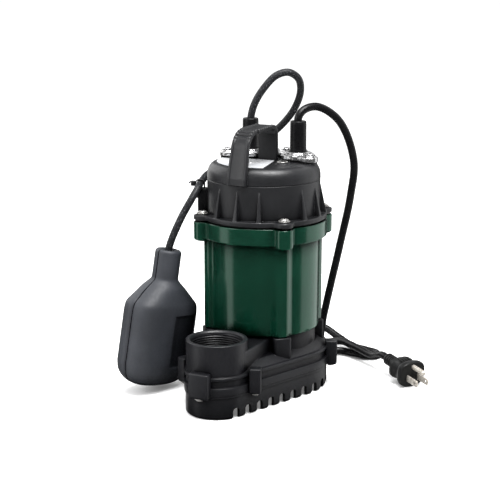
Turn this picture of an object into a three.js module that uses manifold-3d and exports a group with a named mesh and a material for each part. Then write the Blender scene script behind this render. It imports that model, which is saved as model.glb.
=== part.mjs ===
// Submersible sump pump with a tethered float switch.
// Millimetres, +Z up. The origin is on the shaft axis, on the floor; the discharge port is toward -Y.
import * as THREE from "three";
import { mergeVertices } from "three/addons/utils/BufferGeometryUtils.js";
import Module from "manifold-3d";

const wasm = await Module();
wasm.setup();

// ---------------------------------------------------------------- driving dimensions

const CLEARANCE = 0.3; // between neighbouring pieces
const CIRCLE = 20; // facets round an ordinary turned piece
const degrees = THREE.MathUtils.degToRad;

const base = { radius: 61, centreY: 5, noseRadius: 29.5, height: 24.4, wall: 3.5, plate: 5 };
const discharge = { y: -95.7, outer: 28.75, bore: 24, top: 70 };
const gasketThickness = 1;
const volute = { flangeTop: 40, shoulderTop: 47, deck: 60, seat: 61.4, lip: 1.5 };
const chamber = { radius: 44, top: 44, neck: 20 };
const housing = { bottom: 61.8, collar: 152, top: 167.9, radius: 55, bore: 48, collarRadius: 61.5 };
const column = { orbit: 50.8, radius: 9.5 };
const ear = { orbit: 61.9, radius: 8.5 };
const housingScrewOrbit = 51.5;
const cap = {
  bottom: 169.5, flangeTop: 174, step: 207, top: 222.7, shoulder: 12,
  radius: 54.8, flatRadius: 46.2, wall: 3.2,
};
const gland = { x: 26, y: 22, turn: 35, plateBottom: 227, plateTop: 230, lobe: 23, bootTop: 261 };
const oilPlug = { x: 23, y: -6, radius: 5.2 };
const shaft = { lower: 6.3, middle: 8.4, upper: 5.9, bottom: 30.6, top: 159.5 };
const powerCordRadius = 3.9;
const floatCordRadius = 3.6;

const quarterAngles = [45, 135, 225, 315].map(degrees);

// The float cord is strapped to a post on the cap, and the float hangs from there.
const strap = { angle: 202.5, orbit: 62.5, z: 199.5 };
const swingAngle = degrees(232.3);
const floatBody = { lean: degrees(8.8), facing: degrees(72.6), wall: 3.4 };
const floatNeckTop = new THREE.Vector3(-75.5, -54.7, 138.5);

// The plug lies on the floor beside the pump.
const plug = { x: 127.7, y: 60, z: 14.2, turn: degrees(-33.5), tilt: degrees(-6) };

// ---------------------------------------------------------------- materials

const material = (color, roughness, metalness = 0) =>
  new THREE.MeshStandardMaterial({ color, roughness, metalness });

const materials = {
  paint: material(0x14402c, 0.45, 0.1),
  plastic: material(0x26272a, 0.55),
  floatPlastic: material(0x3a3c42, 0.5),
  rubber: material(0x151516, 0.7),
  cordJacket: material(0x19191b, 0.6),
  chrome: material(0xd5d7da, 0.12, 1),
  zinc: material(0xb9bcc0, 0.3, 1),
  steel: material(0x9fa3a8, 0.35, 1),
  brass: material(0xc9a45c, 0.3, 1),
  laminations: material(0x5c6066, 0.55, 0.8),
  copper: material(0xa8582c, 0.45, 0.6),
  castAluminium: material(0xa9adb2, 0.5, 0.9),
  ceramic: material(0xe9e4d8, 0.35),
  carbon: material(0x1d1d1f, 0.6),
  label: material(0xf1f2f3, 0.35),
  gasket: material(0x1b1a19, 0.85),
  capacitorCase: material(0x2f3238, 0.4),
};

// ---------------------------------------------------------------- shape helpers

// A geometry as a manifold-3d solid, turned right side out if its faces point inwards.
function solidFrom(geometry) {
  const bare = geometry.index ? geometry.toNonIndexed() : geometry.clone();
  bare.deleteAttribute("normal");
  bare.deleteAttribute("uv");
  const merged = mergeVertices(bare, 1e-4);
  const vertProperties = merged.getAttribute("position").array;
  const triVerts = new Uint32Array(merged.index.array);
  const build = () => new wasm.Manifold(new wasm.Mesh({ numProp: 3, vertProperties, triVerts }));
  const solid = build();
  if (solid.volume() >= 0) return solid;
  for (let i = 0; i < triVerts.length; i += 3) {
    [triVerts[i + 1], triVerts[i + 2]] = [triVerts[i + 2], triVerts[i + 1]];
  }
  return build();
}

// A manifold-3d solid back as a three.js geometry.
function geometryFrom(solid) {
  const mesh = solid.getMesh();
  const geometry = new THREE.BufferGeometry();
  geometry.setAttribute("position", new THREE.BufferAttribute(mesh.vertProperties, 3));
  geometry.setIndex(new THREE.BufferAttribute(mesh.triVerts, 1));
  geometry.computeVertexNormals();
  return geometry;
}

const join = (first, ...others) => others.reduce((whole, part) => whole.add(part), first);
const cut = (first, ...others) => others.reduce((whole, part) => whole.subtract(part), first);

// A solid of revolution about Z from [radius, height] points.
function turned(profile, segments = CIRCLE) {
  const points = profile.map(([radius, z]) => new THREE.Vector2(radius, z));
  return solidFrom(new THREE.LatheGeometry(points, segments).rotateX(Math.PI / 2));
}

const disc = (radius, bottom, top, segments = CIRCLE) =>
  turned([[0, bottom], [radius, bottom], [radius, top], [0, top]], segments);

const ring = (inner, outer, bottom, top, segments = CIRCLE) =>
  turned([[inner, bottom], [outer, bottom], [outer, top], [inner, top], [inner, bottom]], segments);

const discAt = (x, y, radius, bottom, top, segments = 20) =>
  disc(radius, bottom, top, segments).translate([x, y, 0]);

const onCircle = (radius, angle) => [radius * Math.cos(angle), radius * Math.sin(angle)];

// A flat outline drawn in XY, raised from bottom to top.
function prism(shape, bottom, top, curveSegments = 9) {
  const options = { depth: top - bottom, bevelEnabled: false, curveSegments };
  return solidFrom(new THREE.ExtrudeGeometry(shape, options).translate(0, 0, bottom));
}

function box(width, depth, height, x = 0, y = 0, z = 0) {
  return solidFrom(new THREE.BoxGeometry(width, depth, height).translate(x, y, z));
}

// A round bar along a smooth curve through the points.
function cord(points, radius, steps, sides = 4) {
  const path = new THREE.CatmullRomCurve3(points, false, "centripetal");
  const section = new THREE.Shape().absarc(0, 0, radius, 0, 2 * Math.PI, false);
  const options = { steps, extrudePath: path, curveSegments: sides };
  return solidFrom(new THREE.ExtrudeGeometry(section, options));
}

// A closed skin over rings of points, each ring seen from its own middle.
function loft(rings) {
  const count = rings[0].length;
  const middle = (points) =>
    points.reduce((sum, p) => sum.add(p), new THREE.Vector3()).divideScalar(count);
  const vertices = [...rings.flat(), middle(rings[0]), middle(rings.at(-1))];
  const bottomCentre = vertices.length - 2;
  const topCentre = vertices.length - 1;
  const lastRing = (rings.length - 1) * count;
  const faces = [];
  for (let i = 0; i < count; i++) {
    const next = (i + 1) % count;
    faces.push(bottomCentre, next, i, topCentre, lastRing + i, lastRing + next);
    for (let level = 0; level < lastRing; level += count) {
      faces.push(level + i, level + next, level + count + next);
      faces.push(level + i, level + count + next, level + count + i);
    }
  }
  const geometry = new THREE.BufferGeometry().setFromPoints(vertices);
  geometry.setIndex(faces);
  return solidFrom(geometry);
}

// The round back and the narrower nose of the base, joined by straight sides.
function pearOutline(offset, noseOffset = offset) {
  const large = base.radius + offset;
  const small = base.noseRadius + noseOffset;
  const tangent = Math.asin((large - small) / (base.centreY - discharge.y));
  const shape = new THREE.Shape();
  shape.absarc(0, base.centreY, large, -tangent, Math.PI + tangent, false);
  shape.absarc(0, discharge.y, small, Math.PI + tangent, 2 * Math.PI - tangent, false);
  return shape;
}

const pearRing = (offset, z) =>
  pearOutline(offset).getPoints(9).map((p) => new THREE.Vector3(p.x, p.y, z));

// The reach of a circle with four round lobes on it, in one direction from the middle.
function lobedRadius(angle, radius, lobe) {
  const gaps = quarterAngles.map((at) => Math.acos(Math.min(1, Math.cos(angle - at))));
  const fromLobe = Math.min(...gaps);
  const across = lobe.orbit * Math.sin(fromLobe);
  if (fromLobe > Math.PI / 4 || across >= lobe.radius) return radius;
  return Math.max(radius, lobe.orbit * Math.cos(fromLobe) + Math.sqrt(lobe.radius ** 2 - across ** 2));
}

const LOBED_FACETS = 72;

function lobedRing(radius, lobe, z) {
  return Array.from({ length: LOBED_FACETS }, (_, i) => {
    const angle = (2 * Math.PI * i) / LOBED_FACETS;
    return new THREE.Vector3(...onCircle(lobedRadius(angle, radius, lobe), angle), z);
  });
}

// Round holes at one radius, one in line with each column.
const quarterHoles = (orbit, radius, bottom, top) =>
  join(...quarterAngles.map((angle) => discAt(...onCircle(orbit, angle), radius, bottom, top, 10)));

// ---------------------------------------------------------------- the object's tree

const pump = new THREE.Group();

function addPiece(parent, name, solid, finish, position = [0, 0, 0]) {
  const mesh = new THREE.Mesh(geometryFrom(solid), finish);
  mesh.name = name;
  mesh.position.set(...position);
  parent.add(mesh);
}

// ---------------------------------------------------------------- base, strainer and volute

// Each lug stands on the edge of the base and takes one screw from below.
const lugs = [
  { x: 0, y: -128.2, width: 20, depth: 8.4, turn: 0 },
  { x: 37.5, y: -90, width: 11, depth: 11, turn: 22.6 },
  { x: -37.5, y: -90, width: 11, depth: 11, turn: -22.6 },
  { x: 62, y: 26, width: 12, depth: 12, turn: 22.8 },
  { x: -62, y: 26, width: 12, depth: 12, turn: -22.8 },
];
const lugBottom = 21;
const lugTop = 45;

const lugBlock = ({ x, y, width, depth, turn }, bottom, top) =>
  box(width, depth, top - bottom).rotate([0, 0, turn]).translate([x, y, (top + bottom) / 2]);

const lugBlocks = (bottom, top) => join(...lugs.map((lug) => lugBlock(lug, bottom, top)));
const lugHoles = (radius, bottom, top) =>
  join(...lugs.map(({ x, y }) => discAt(x, y, radius, bottom, top, 8)));

// Inlet slots, open at the bottom of the skirt, all the way round except across the nose.
const slot = { width: 7, height: 8.5, pitch: 14.9, depth: 12, lead: 10 };

function slottedEdge() {
  const large = base.radius - base.wall / 2;
  const small = base.noseRadius - base.wall / 2;
  const tangent = Math.asin((large - small) / (base.centreY - discharge.y));
  const lead = slot.lead / small;
  const edge = new THREE.Path();
  edge.absarc(0, discharge.y, small, -tangent - lead, -tangent, false);
  edge.absarc(0, base.centreY, large, -tangent, Math.PI + tangent, false);
  edge.absarc(0, discharge.y, small, Math.PI + tangent, Math.PI + tangent + lead, false);
  return edge;
}

function skirtSlots() {
  const edge = slottedEdge();
  const places = Math.floor(edge.getLength() / slot.pitch);
  const cutters = Array.from({ length: places }, (_, i) => {
    const at = (i + 0.5) / places;
    const point = edge.getPointAt(at);
    const tangent = edge.getTangentAt(at);
    const angle = THREE.MathUtils.radToDeg(Math.atan2(tangent.y, tangent.x));
    return box(slot.width, slot.depth, 2 * slot.height)
      .rotate([0, 0, angle])
      .translate([point.x, point.y, 0]);
  });
  return join(...cutters);
}

const inletRadius = 19;

function makeStrainerBase() {
  const shell = join(prism(pearOutline(0), 0, base.height), lugBlocks(lugBottom, base.height));
  const hollow = prism(pearOutline(-base.wall), -1, base.height - base.plate);
  const eye = disc(inletRadius, 0, base.height + 1);
  const screw = { hole: 2.8, relief: 4.6 };
  return cut(
    shell, hollow, eye, skirtSlots(),
    lugHoles(screw.hole, 0, base.height + 1),
    lugHoles(screw.relief, -1, lugBottom),
  );
}

const strainer = { radius: 30, wall: 2.5, floor: 3, rim: 35, slots: 10 };

function makeInletStrainer() {
  const top = base.height - base.plate - CLEARANCE;
  const rimThickness = 3;
  const inner = strainer.radius - strainer.wall;
  const cup = turned([
    [0, 0],
    [strainer.radius, 0],
    [strainer.radius, top - rimThickness],
    [strainer.rim, top - rimThickness],
    [strainer.rim, top],
    [inner, top],
    [inner, strainer.floor],
    [0, strainer.floor],
  ]);
  const window = { width: 8, height: 8, z: 9 };
  const windows = Array.from({ length: strainer.slots }, (_, i) =>
    box(window.width, window.width, window.height, strainer.radius, 0, window.z)
      .rotate([0, 0, (360 * i) / strainer.slots]));
  return cut(cup, ...windows);
}

const voluteBottom = base.height + CLEARANCE + gasketThickness + CLEARANCE;

function makeVoluteGasket() {
  const edge = prism(pearOutline(-1.2), base.height + CLEARANCE, voluteBottom - CLEARANCE);
  const opening = prism(pearOutline(-13, -5), base.height, voluteBottom);
  return cut(edge, opening, quarterHoles(housingScrewOrbit, 6.5, base.height, voluteBottom));
}

const voluteScrew = { hole: 3.3, counterbore: 6, seat: 44, lugHole: 2.3, lugDepth: 41 };

function voluteOutside() {
  const bridgeHalfWidth = 29;
  const seatRadius = 51;
  const boss = { orbit: 52.5, radius: 8.8 };
  const shoulder = [
    pearRing(-0.5, volute.flangeTop - 1),
    pearRing(-0.5, volute.flangeTop),
    pearRing(-11, volute.shoulderTop),
  ];
  return join(
    prism(pearOutline(volute.lip), voluteBottom, volute.flangeTop),
    loft(shoulder),
    box(2 * bridgeHalfWidth, -discharge.y, volute.deck - volute.flangeTop, 0, discharge.y / 2,
      (volute.deck + volute.flangeTop) / 2),
    disc(seatRadius, volute.flangeTop, volute.seat, 32),
    discAt(0, discharge.y, discharge.outer, voluteBottom, discharge.top, 32),
    quarterHoles(boss.orbit, boss.radius, volute.flangeTop, volute.seat),
    lugBlocks(voluteBottom, lugTop),
  );
}

// The chamber round the impeller, the way out of it, and every screw's hole.
function makeVoluteCase() {
  const passage = { halfWidth: 19, bottom: 30 };
  const below = voluteBottom - 1;
  return cut(
    voluteOutside(),
    disc(chamber.radius, below, chamber.top, 32),
    box(2 * passage.halfWidth, -discharge.y, chamber.top - passage.bottom, 0, discharge.y / 2,
      (chamber.top + passage.bottom) / 2),
    discAt(0, discharge.y, discharge.bore, passage.bottom, discharge.top + 1, 32),
    disc(chamber.neck, chamber.top - 1, volute.seat + 1),
    quarterHoles(housingScrewOrbit, voluteScrew.hole, below, volute.seat + 1),
    quarterHoles(housingScrewOrbit, voluteScrew.counterbore, below, voluteScrew.seat),
    lugHoles(voluteScrew.lugHole, below, voluteScrew.lugDepth),
  );
}

// A screw standing on its head: the head below, the shank up.
function screwUp({ headRadius, head, shankRadius, shank }) {
  return turned([
    [0, 0],
    [headRadius * 0.8, 0],
    [headRadius, head],
    [shankRadius, head],
    [shankRadius, head + shank],
    [0, head + shank],
  ], 8);
}

const screwDown = (sizes) => screwUp(sizes).rotate([180, 0, 0]);

function addBase() {
  addPiece(pump, "strainer_base", makeStrainerBase(), materials.plastic);
  addPiece(pump, "inlet_strainer", makeInletStrainer(), materials.plastic);
  addPiece(pump, "volute_gasket", makeVoluteGasket(), materials.gasket);
  addPiece(pump, "volute_case", makeVoluteCase(), materials.plastic);
  const lugScrew = { headRadius: 4, head: 2.6, shankRadius: 2, shank: 18 };
  lugs.forEach(({ x, y }, i) => {
    const bottom = lugBottom - CLEARANCE - lugScrew.head;
    addPiece(pump, `base_screw_${i + 1}`, screwUp(lugScrew), materials.zinc, [x, y, bottom]);
  });
  const housingScrew = { headRadius: 5, head: 4, shankRadius: 2.6, shank: 26 };
  quarterAngles.forEach((angle, i) => {
    const [x, y] = onCircle(housingScrewOrbit, angle);
    const bottom = voluteScrew.seat - CLEARANCE - housingScrew.head;
    addPiece(pump, `housing_screw_${i + 1}`, screwUp(housingScrew), materials.zinc, [x, y, bottom]);
  });
}

// ---------------------------------------------------------------- impeller and seal

const impeller = { radius: 39, shroudBottom: 37, shroudTop: 40, hub: 10, hubTop: 42.5 };
const vane = { count: 6, bottom: 28.5, width: 3, sweep: 0.9, steps: 4 };

// Each vane curves back round the hub as it goes out.
function vaneOutline() {
  const edge = (side) => Array.from({ length: vane.steps + 1 }, (_, i) => {
    const t = i / vane.steps;
    const radius = THREE.MathUtils.lerp(impeller.hub - 1, impeller.radius, t);
    const angle = vane.sweep * t + (side * vane.width) / 2 / radius;
    return new THREE.Vector2(...onCircle(radius, angle));
  });
  return new THREE.Shape([...edge(-1), ...edge(1).reverse()]);
}

function makeImpeller() {
  const blank = join(
    disc(impeller.radius, impeller.shroudBottom, impeller.shroudTop, 24),
    disc(impeller.hub, vane.bottom, impeller.hubTop, 16),
  );
  const vanes = Array.from({ length: vane.count }, (_, i) =>
    prism(vaneOutline(), vane.bottom, impeller.shroudBottom + 0.5)
      .rotate([0, 0, (360 * i) / vane.count]));
  const bore = disc(shaft.lower + CLEARANCE, shaft.bottom - CLEARANCE, impeller.hubTop + 1, 16);
  return cut(join(blank, ...vanes), bore);
}

function addImpellerAndSeal() {
  addPiece(pump, "impeller", makeImpeller(), materials.plastic);
  const seal = { bore: 6.7, bottom: 43.4, face: 56, seatBore: 7.2, seatRadius: 15, seatTop: 65.2 };
  const head = turned([
    [seal.bore, seal.bottom],
    [13.5, seal.bottom],
    [13.5, 46],
    [11, 47],
    [11, 51],
    [14, 52],
    [14, seal.face],
    [seal.bore, seal.face],
    [seal.bore, seal.bottom],
  ], 16);
  addPiece(pump, "seal_head", head, materials.carbon);
  const seat = ring(seal.seatBore, seal.seatRadius, seal.face + CLEARANCE, seal.seatTop, 16);
  addPiece(pump, "seal_seat", seat, materials.ceramic);
}

// ---------------------------------------------------------------- motor housing

const lowerBearing = { bore: 8.7, outer: 20, bottom: 68.6, top: 80.6 };
const upperBearing = { bore: 6.2, outer: 16, bottom: 148.4, top: 158.4 };
const bracket = { bottom: 145, top: 161, flange: 152 };

// The body drafts out a little to the collar, where the columns grow into ears.
function housingOutside() {
  const taper = 0.6;
  const chamfer = 3;
  const earRoot = { orbit: ear.orbit - 4, radius: ear.radius - 2 };
  return loft([
    lobedRing(housing.radius - taper, column, housing.bottom),
    lobedRing(housing.radius, column, housing.collar - chamfer - 2),
    lobedRing(housing.radius, earRoot, housing.collar - chamfer),
    lobedRing(housing.collarRadius, ear, housing.collar),
    lobedRing(housing.collarRadius, ear, housing.top),
  ]);
}

function makeMotorHousing() {
  const floor = lowerBearing.bottom - CLEARANCE;
  const hubRadius = 26;
  const cavity = disc(housing.bore, floor, housing.top + 1, 32);
  const shell = join(cut(housingOutside(), cavity), disc(hubRadius, floor - 1, lowerBearing.top));
  const seatRecess = disc(15.3, housing.bottom - 1, 65.5, 24);
  const shaftHole = disc(shaft.middle + 0.9, housing.bottom, floor + 1, 24);
  const bearingPocket = disc(lowerBearing.outer + CLEARANCE, floor, lowerBearing.top + 1);
  const baseHole = { radius: 2.9, top: 72 };
  const earHole = { radius: 2.4, bottom: 153 };
  return cut(
    shell, seatRecess, shaftHole, bearingPocket,
    quarterHoles(housingScrewOrbit, baseHole.radius, housing.bottom - 1, baseHole.top),
    quarterHoles(ear.orbit, earHole.radius, earHole.bottom, housing.top + 1),
  );
}

function makeBearingBracket() {
  const seat = upperBearing.outer + CLEARANCE;
  const edge = housing.bore - 0.8;
  const wall = 4;
  const plate = turned([
    [seat, bracket.bottom],
    [seat + wall, bracket.bottom],
    [seat + wall, bracket.flange],
    [edge, bracket.flange],
    [edge, bracket.top],
    [edge - wall, bracket.top],
    [edge - wall, bracket.flange + wall],
    [seat, bracket.flange + wall],
    [seat, bracket.bottom],
  ]);
  const port = { orbit: 33, radius: 6 };
  const ports = [0, 90, 180, 270].map((at) =>
    discAt(port.orbit, 0, port.radius, bracket.flange - 1, bracket.top, 10).rotate([0, 0, at]));
  return cut(plate, ...ports);
}

function makeShaft() {
  const steps = { lower: 66, upper: 146 };
  return turned([
    [0, shaft.bottom],
    [shaft.lower, shaft.bottom],
    [shaft.lower, steps.lower],
    [shaft.middle, steps.lower],
    [shaft.middle, steps.upper],
    [shaft.upper, steps.upper],
    [shaft.upper, shaft.top],
    [0, shaft.top],
  ], 16);
}

const core = { bottom: 94, top: 134, rotor: 26, stator: 26.7, overhang: 3 };

// The end turns of the stator's coils: a ring with a rounded top, pointing up or down.
function makeWinding(z, up) {
  const inner = 29;
  const outer = 43;
  return turned([
    [inner, z],
    [outer, z],
    [outer, z + up * 5],
    [outer - 4, z + up * 9],
    [inner + 3, z + up * 9],
    [inner, z + up * 6],
    [inner, z],
  ]);
}

function addBearing(name, { bore, outer, bottom, top }) {
  const gap = (outer + bore) / 2;
  const inside = ring(bore, gap - CLEARANCE / 2, bottom, top, 16);
  const outside = ring(gap + CLEARANCE / 2, outer, bottom, top, 16);
  addPiece(pump, `${name}_bearing_inner`, inside, materials.steel);
  addPiece(pump, `${name}_bearing_outer`, outside, materials.steel);
}

function addMotor() {
  addPiece(pump, "motor_housing", makeMotorHousing(), materials.paint);
  addPiece(pump, "bearing_bracket", makeBearingBracket(), materials.castAluminium);
  const stator = ring(core.stator, housing.bore - 0.8, core.bottom, core.top, 24);
  addPiece(pump, "stator_core", stator, materials.laminations);
  addPiece(pump, "upper_winding", makeWinding(core.top + CLEARANCE, 1), materials.copper);
  addPiece(pump, "lower_winding", makeWinding(core.bottom - CLEARANCE, -1), materials.copper);
  const rotorBottom = core.bottom - core.overhang;
  const rotorTop = core.top + core.overhang;
  const rotor = ring(shaft.middle + CLEARANCE, core.rotor, rotorBottom, rotorTop);
  addPiece(pump, "rotor_core", rotor, materials.laminations);
  addPiece(pump, "motor_shaft", makeShaft(), materials.steel);
  addBearing("lower", lowerBearing);
  addBearing("upper", upperBearing);
}

function addElectrics() {
  const protector = box(16, 7, 5, 0, 36, 146.6);
  addPiece(pump, "thermal_protector", protector, materials.rubber);
  const capacitor = { radius: 14, halfLength: 24 };
  const can = disc(capacitor.radius, -capacitor.halfLength, capacitor.halfLength, 24).rotate([0, 90, 0]);
  addPiece(pump, "run_capacitor", can, materials.capacitorCase, [0, -20, 186]);
}

// ---------------------------------------------------------------- cap

const handle = { width: 20, thickness: 4.2, grip: 257, front: -41, back: 11.5, foot: -57.4 };

// The handle is a flat strap: up the front of the cap, along the grip and down onto the top.
function handleOutline() {
  const { thickness, grip, front, back, foot } = handle;
  const outer = new THREE.Shape();
  outer.moveTo(foot, cap.step);
  outer.lineTo(foot + 0.5, cap.step + 8);
  outer.lineTo(front - 4, grip - 8);
  outer.quadraticCurveTo(front - 2.5, grip + 1, front + 5, grip + 2);
  outer.lineTo(back - 7, grip + 2);
  outer.quadraticCurveTo(back, grip + 2, back, grip - 6);
  outer.lineTo(back + 0.5, cap.top - 1);
  outer.lineTo(back - thickness - 0.5, cap.top - 1);
  outer.lineTo(back - thickness, grip - 7);
  outer.quadraticCurveTo(back - thickness, grip - 3, back - 9, grip - 3);
  outer.lineTo(front + 6, grip - 3);
  outer.quadraticCurveTo(front + 1, grip - 3, front, grip - 9);
  outer.lineTo(foot + thickness + 0.8, cap.step + 8);
  outer.lineTo(foot + thickness + 0.8, cap.step);
  outer.closePath();
  return outer;
}

function makeHandle() {
  const options = { depth: handle.width, bevelEnabled: false, curveSegments: 4 };
  const strip = new THREE.ExtrudeGeometry(handleOutline(), options);
  strip.translate(0, 0, -handle.width / 2);
  // The outline is drawn as (y, z); turn it so that its depth runs along X.
  strip.applyMatrix4(new THREE.Matrix4().makeBasis(
    new THREE.Vector3(0, 1, 0), new THREE.Vector3(0, 0, 1), new THREE.Vector3(1, 0, 0)));
  return solidFrom(strip);
}

// The oval that a gland's plate and its pad share, with a lobe for a screw at each end.
function glandOval(offset) {
  const middleRadius = 15 + offset;
  const lobeRadius = 6 + offset;
  const lobes = [-gland.lobe, gland.lobe].map((x) => discAt(x, 0, lobeRadius, 0, 1, 12));
  const web = box(2 * gland.lobe, 2 * lobeRadius - 1, 1, 0, 0, 0.5);
  return join(disc(middleRadius, 0, 1), web, ...lobes);
}

const stretched = (solid, bottom, top) => solid.scale([1, 1, top - bottom]).translate([0, 0, bottom]);

// Moves a solid drawn about the origin to the right (+1) or left (-1) gland.
const atGland = (solid, side) =>
  solid.rotate([0, 0, -side * gland.turn]).translate([side * gland.x, gland.y, 0]);

const gussets = { thickness: 2.6, top: 202, step: 22.5 };

// Thin ribs between the wall and the rim of the flange, three between each pair of ears.
function makeGussets() {
  const shape = new THREE.Shape();
  shape.moveTo(cap.radius - 2, gussets.top);
  shape.lineTo(cap.radius, gussets.top);
  shape.lineTo(housing.collarRadius - 0.3, cap.flangeTop - 1);
  shape.lineTo(cap.radius - 2, cap.flangeTop - 1);
  shape.closePath();
  const rib = new THREE.ExtrudeGeometry(shape, { depth: gussets.thickness, bevelEnabled: false });
  rib.translate(0, 0, -gussets.thickness / 2).rotateX(Math.PI / 2);
  const one = solidFrom(rib);
  const ribs = [];
  for (let angle = 0; angle < 360; angle += gussets.step) {
    if (angle % 90 !== 45 && angle !== strap.angle) ribs.push(one.rotate([0, 0, angle]));
  }
  return join(...ribs);
}

const tiePost = { width: 9, top: 193.6, holeZ: 187.3 };

function makeTiePost() {
  const inner = cap.radius - 1;
  const outer = 63.5;
  const post = box(outer - inner, tiePost.width, tiePost.top - cap.flangeTop + 1,
    (inner + outer) / 2, 0, (tiePost.top + cap.flangeTop - 1) / 2);
  const window = box(4.2, tiePost.width + 2, 15, 57.6, 0, tiePost.top - 4);
  const slit = box(16, 5, 2.6, 60, 0, tiePost.holeZ);
  return cut(post, window, slit).rotate([0, 0, strap.angle]);
}

// The outside of the cap, or with an inset the hollow inside it.
function capSkin(inset) {
  const steps = 4;
  const bottom = cap.bottom - inset;
  const profile = [[0, bottom], [cap.radius - inset, bottom]];
  for (let i = 0; i <= steps; i++) {
    const angle = (Math.PI / 2) * (i / steps);
    profile.push([
      cap.flatRadius + (cap.radius - cap.flatRadius - inset) * Math.cos(angle),
      cap.top - cap.shoulder + (cap.shoulder - inset) * Math.sin(angle),
    ]);
  }
  profile.push([0, cap.top - inset]);
  return turned(profile, 36);
}

// The pads under the two glands, and what is bored through them.
function makeGlandPad(side) {
  const oval = stretched(glandOval(0.8), cap.top - 9, gland.plateBottom - CLEARANCE);
  return atGland(oval, side);
}

function makeGlandBores(side) {
  const above = gland.plateBottom + 1;
  const bore = disc(11.8, cap.top - 8, above, 16);
  const threads = [-gland.lobe, gland.lobe].map((x) => discAt(x, 0, 2, cap.top - 4, above, 8));
  return atGland(join(bore, ...threads), side);
}

function makeCap() {
  const flange = loft([
    lobedRing(housing.collarRadius, ear, cap.bottom),
    lobedRing(housing.collarRadius, ear, cap.flangeTop),
  ]);
  const outside = join(
    capSkin(0), flange, makeGussets(), makeTiePost(), makeHandle(), makeGlandPad(-1), makeGlandPad(1),
  );
  const oilHole = discAt(oilPlug.x, oilPlug.y, 4, cap.top - 10, cap.top + 1, 12);
  const earHoles = quarterHoles(ear.orbit, 2.8, cap.bottom - 1, gussets.top);
  return cut(outside, capSkin(cap.wall), makeGlandBores(-1), makeGlandBores(1), oilHole, earHoles);
}

// The blank label covers the left of the flat top, and its right edge is straight.
function makeLabel() {
  const radius = 45.4;
  const thickness = 0.5;
  const rightEnd = 20;
  const shape = new THREE.Shape();
  shape.moveTo(9, 4.5);
  shape.lineTo(-30, 4.5);
  shape.lineTo(-36, -2);
  shape.lineTo(-radius, -2);
  shape.absarc(0, 0, radius, Math.PI + 0.05, 2 * Math.PI - Math.acos(rightEnd / radius), false);
  shape.closePath();
  return prism(shape, cap.top + CLEARANCE, cap.top + CLEARANCE + thickness, 20);
}

function addCap() {
  const gasketBottom = housing.top + CLEARANCE;
  const gasket = ring(50, 59, gasketBottom, gasketBottom + gasketThickness, 24);
  addPiece(pump, "cap_gasket", gasket, materials.gasket);
  addPiece(pump, "motor_cap", makeCap(), materials.plastic);
  const capScrew = { headRadius: 5.2, head: 4, shankRadius: 2.2, shank: 20 };
  const capScrewTop = cap.flangeTop + CLEARANCE + capScrew.head;
  quarterAngles.forEach((angle, i) => {
    const [x, y] = onCircle(ear.orbit, angle);
    addPiece(pump, `cap_screw_${i + 1}`, screwDown(capScrew), materials.zinc, [x, y, capScrewTop]);
  });
  const oilScrew = { headRadius: oilPlug.radius, head: 2, shankRadius: 3.7, shank: 6 };
  const oilScrewTop = cap.top + CLEARANCE + oilScrew.head;
  addPiece(pump, "oil_fill_plug", screwDown(oilScrew), materials.zinc, [oilPlug.x, oilPlug.y, oilScrewTop]);
  addPiece(pump, "name_label", makeLabel(), materials.label);
}

function makeBoot(cordRadius) {
  const bore = cordRadius + 0.6;
  const seat = cap.top - 3;
  const underPlate = gland.plateBottom - CLEARANCE;
  const flangeRadius = 11.2;
  return turned([
    [bore, seat],
    [flangeRadius, seat],
    [flangeRadius, underPlate],
    [8.3, underPlate],
    [8.2, 236],
    [7.5, gland.bootTop - 2],
    [6.4, gland.bootTop],
    [bore, gland.bootTop],
    [bore, seat],
  ], 16);
}

// A gland: a rubber boot round the cord, held down by an oval plate with two screws.
function addGland(name, side, cordRadius) {
  const group = new THREE.Group();
  group.position.set(side * gland.x, gland.y, 0);
  group.rotation.z = -side * degrees(gland.turn);
  const hole = disc(8.8, gland.plateBottom - 1, gland.plateTop + 1, 16);
  const screwHoles = [-gland.lobe, gland.lobe].map((x) =>
    discAt(x, 0, 2.3, gland.plateBottom - 1, gland.plateTop + 1, 8));
  const plate = cut(stretched(glandOval(0), gland.plateBottom, gland.plateTop), hole, ...screwHoles);
  addPiece(group, `${name}_gland_boot`, makeBoot(cordRadius), materials.rubber);
  addPiece(group, `${name}_gland_plate`, plate, materials.chrome);
  const screw = { headRadius: 4.2, head: 2.6, shankRadius: 1.7, shank: 8 };
  const screwTop = gland.plateTop + CLEARANCE + screw.head;
  [-gland.lobe, gland.lobe].forEach((x, i) => {
    addPiece(group, `${name}_gland_screw_${i + 1}`, screwDown(screw), materials.chrome, [x, 0, screwTop]);
  });
  pump.add(group);
}

// ---------------------------------------------------------------- cords and plug

const vec = (x, y, z) => new THREE.Vector3(x, y, z);

// A point on the plug's own axis.
const plugTurn = new THREE.Euler(0, -plug.tilt, plug.turn, "ZYX");
const onPlugAxis = (along) => vec(along, 0, 0).applyEuler(plugTurn).add(vec(plug.x, plug.y, plug.z));

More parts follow.
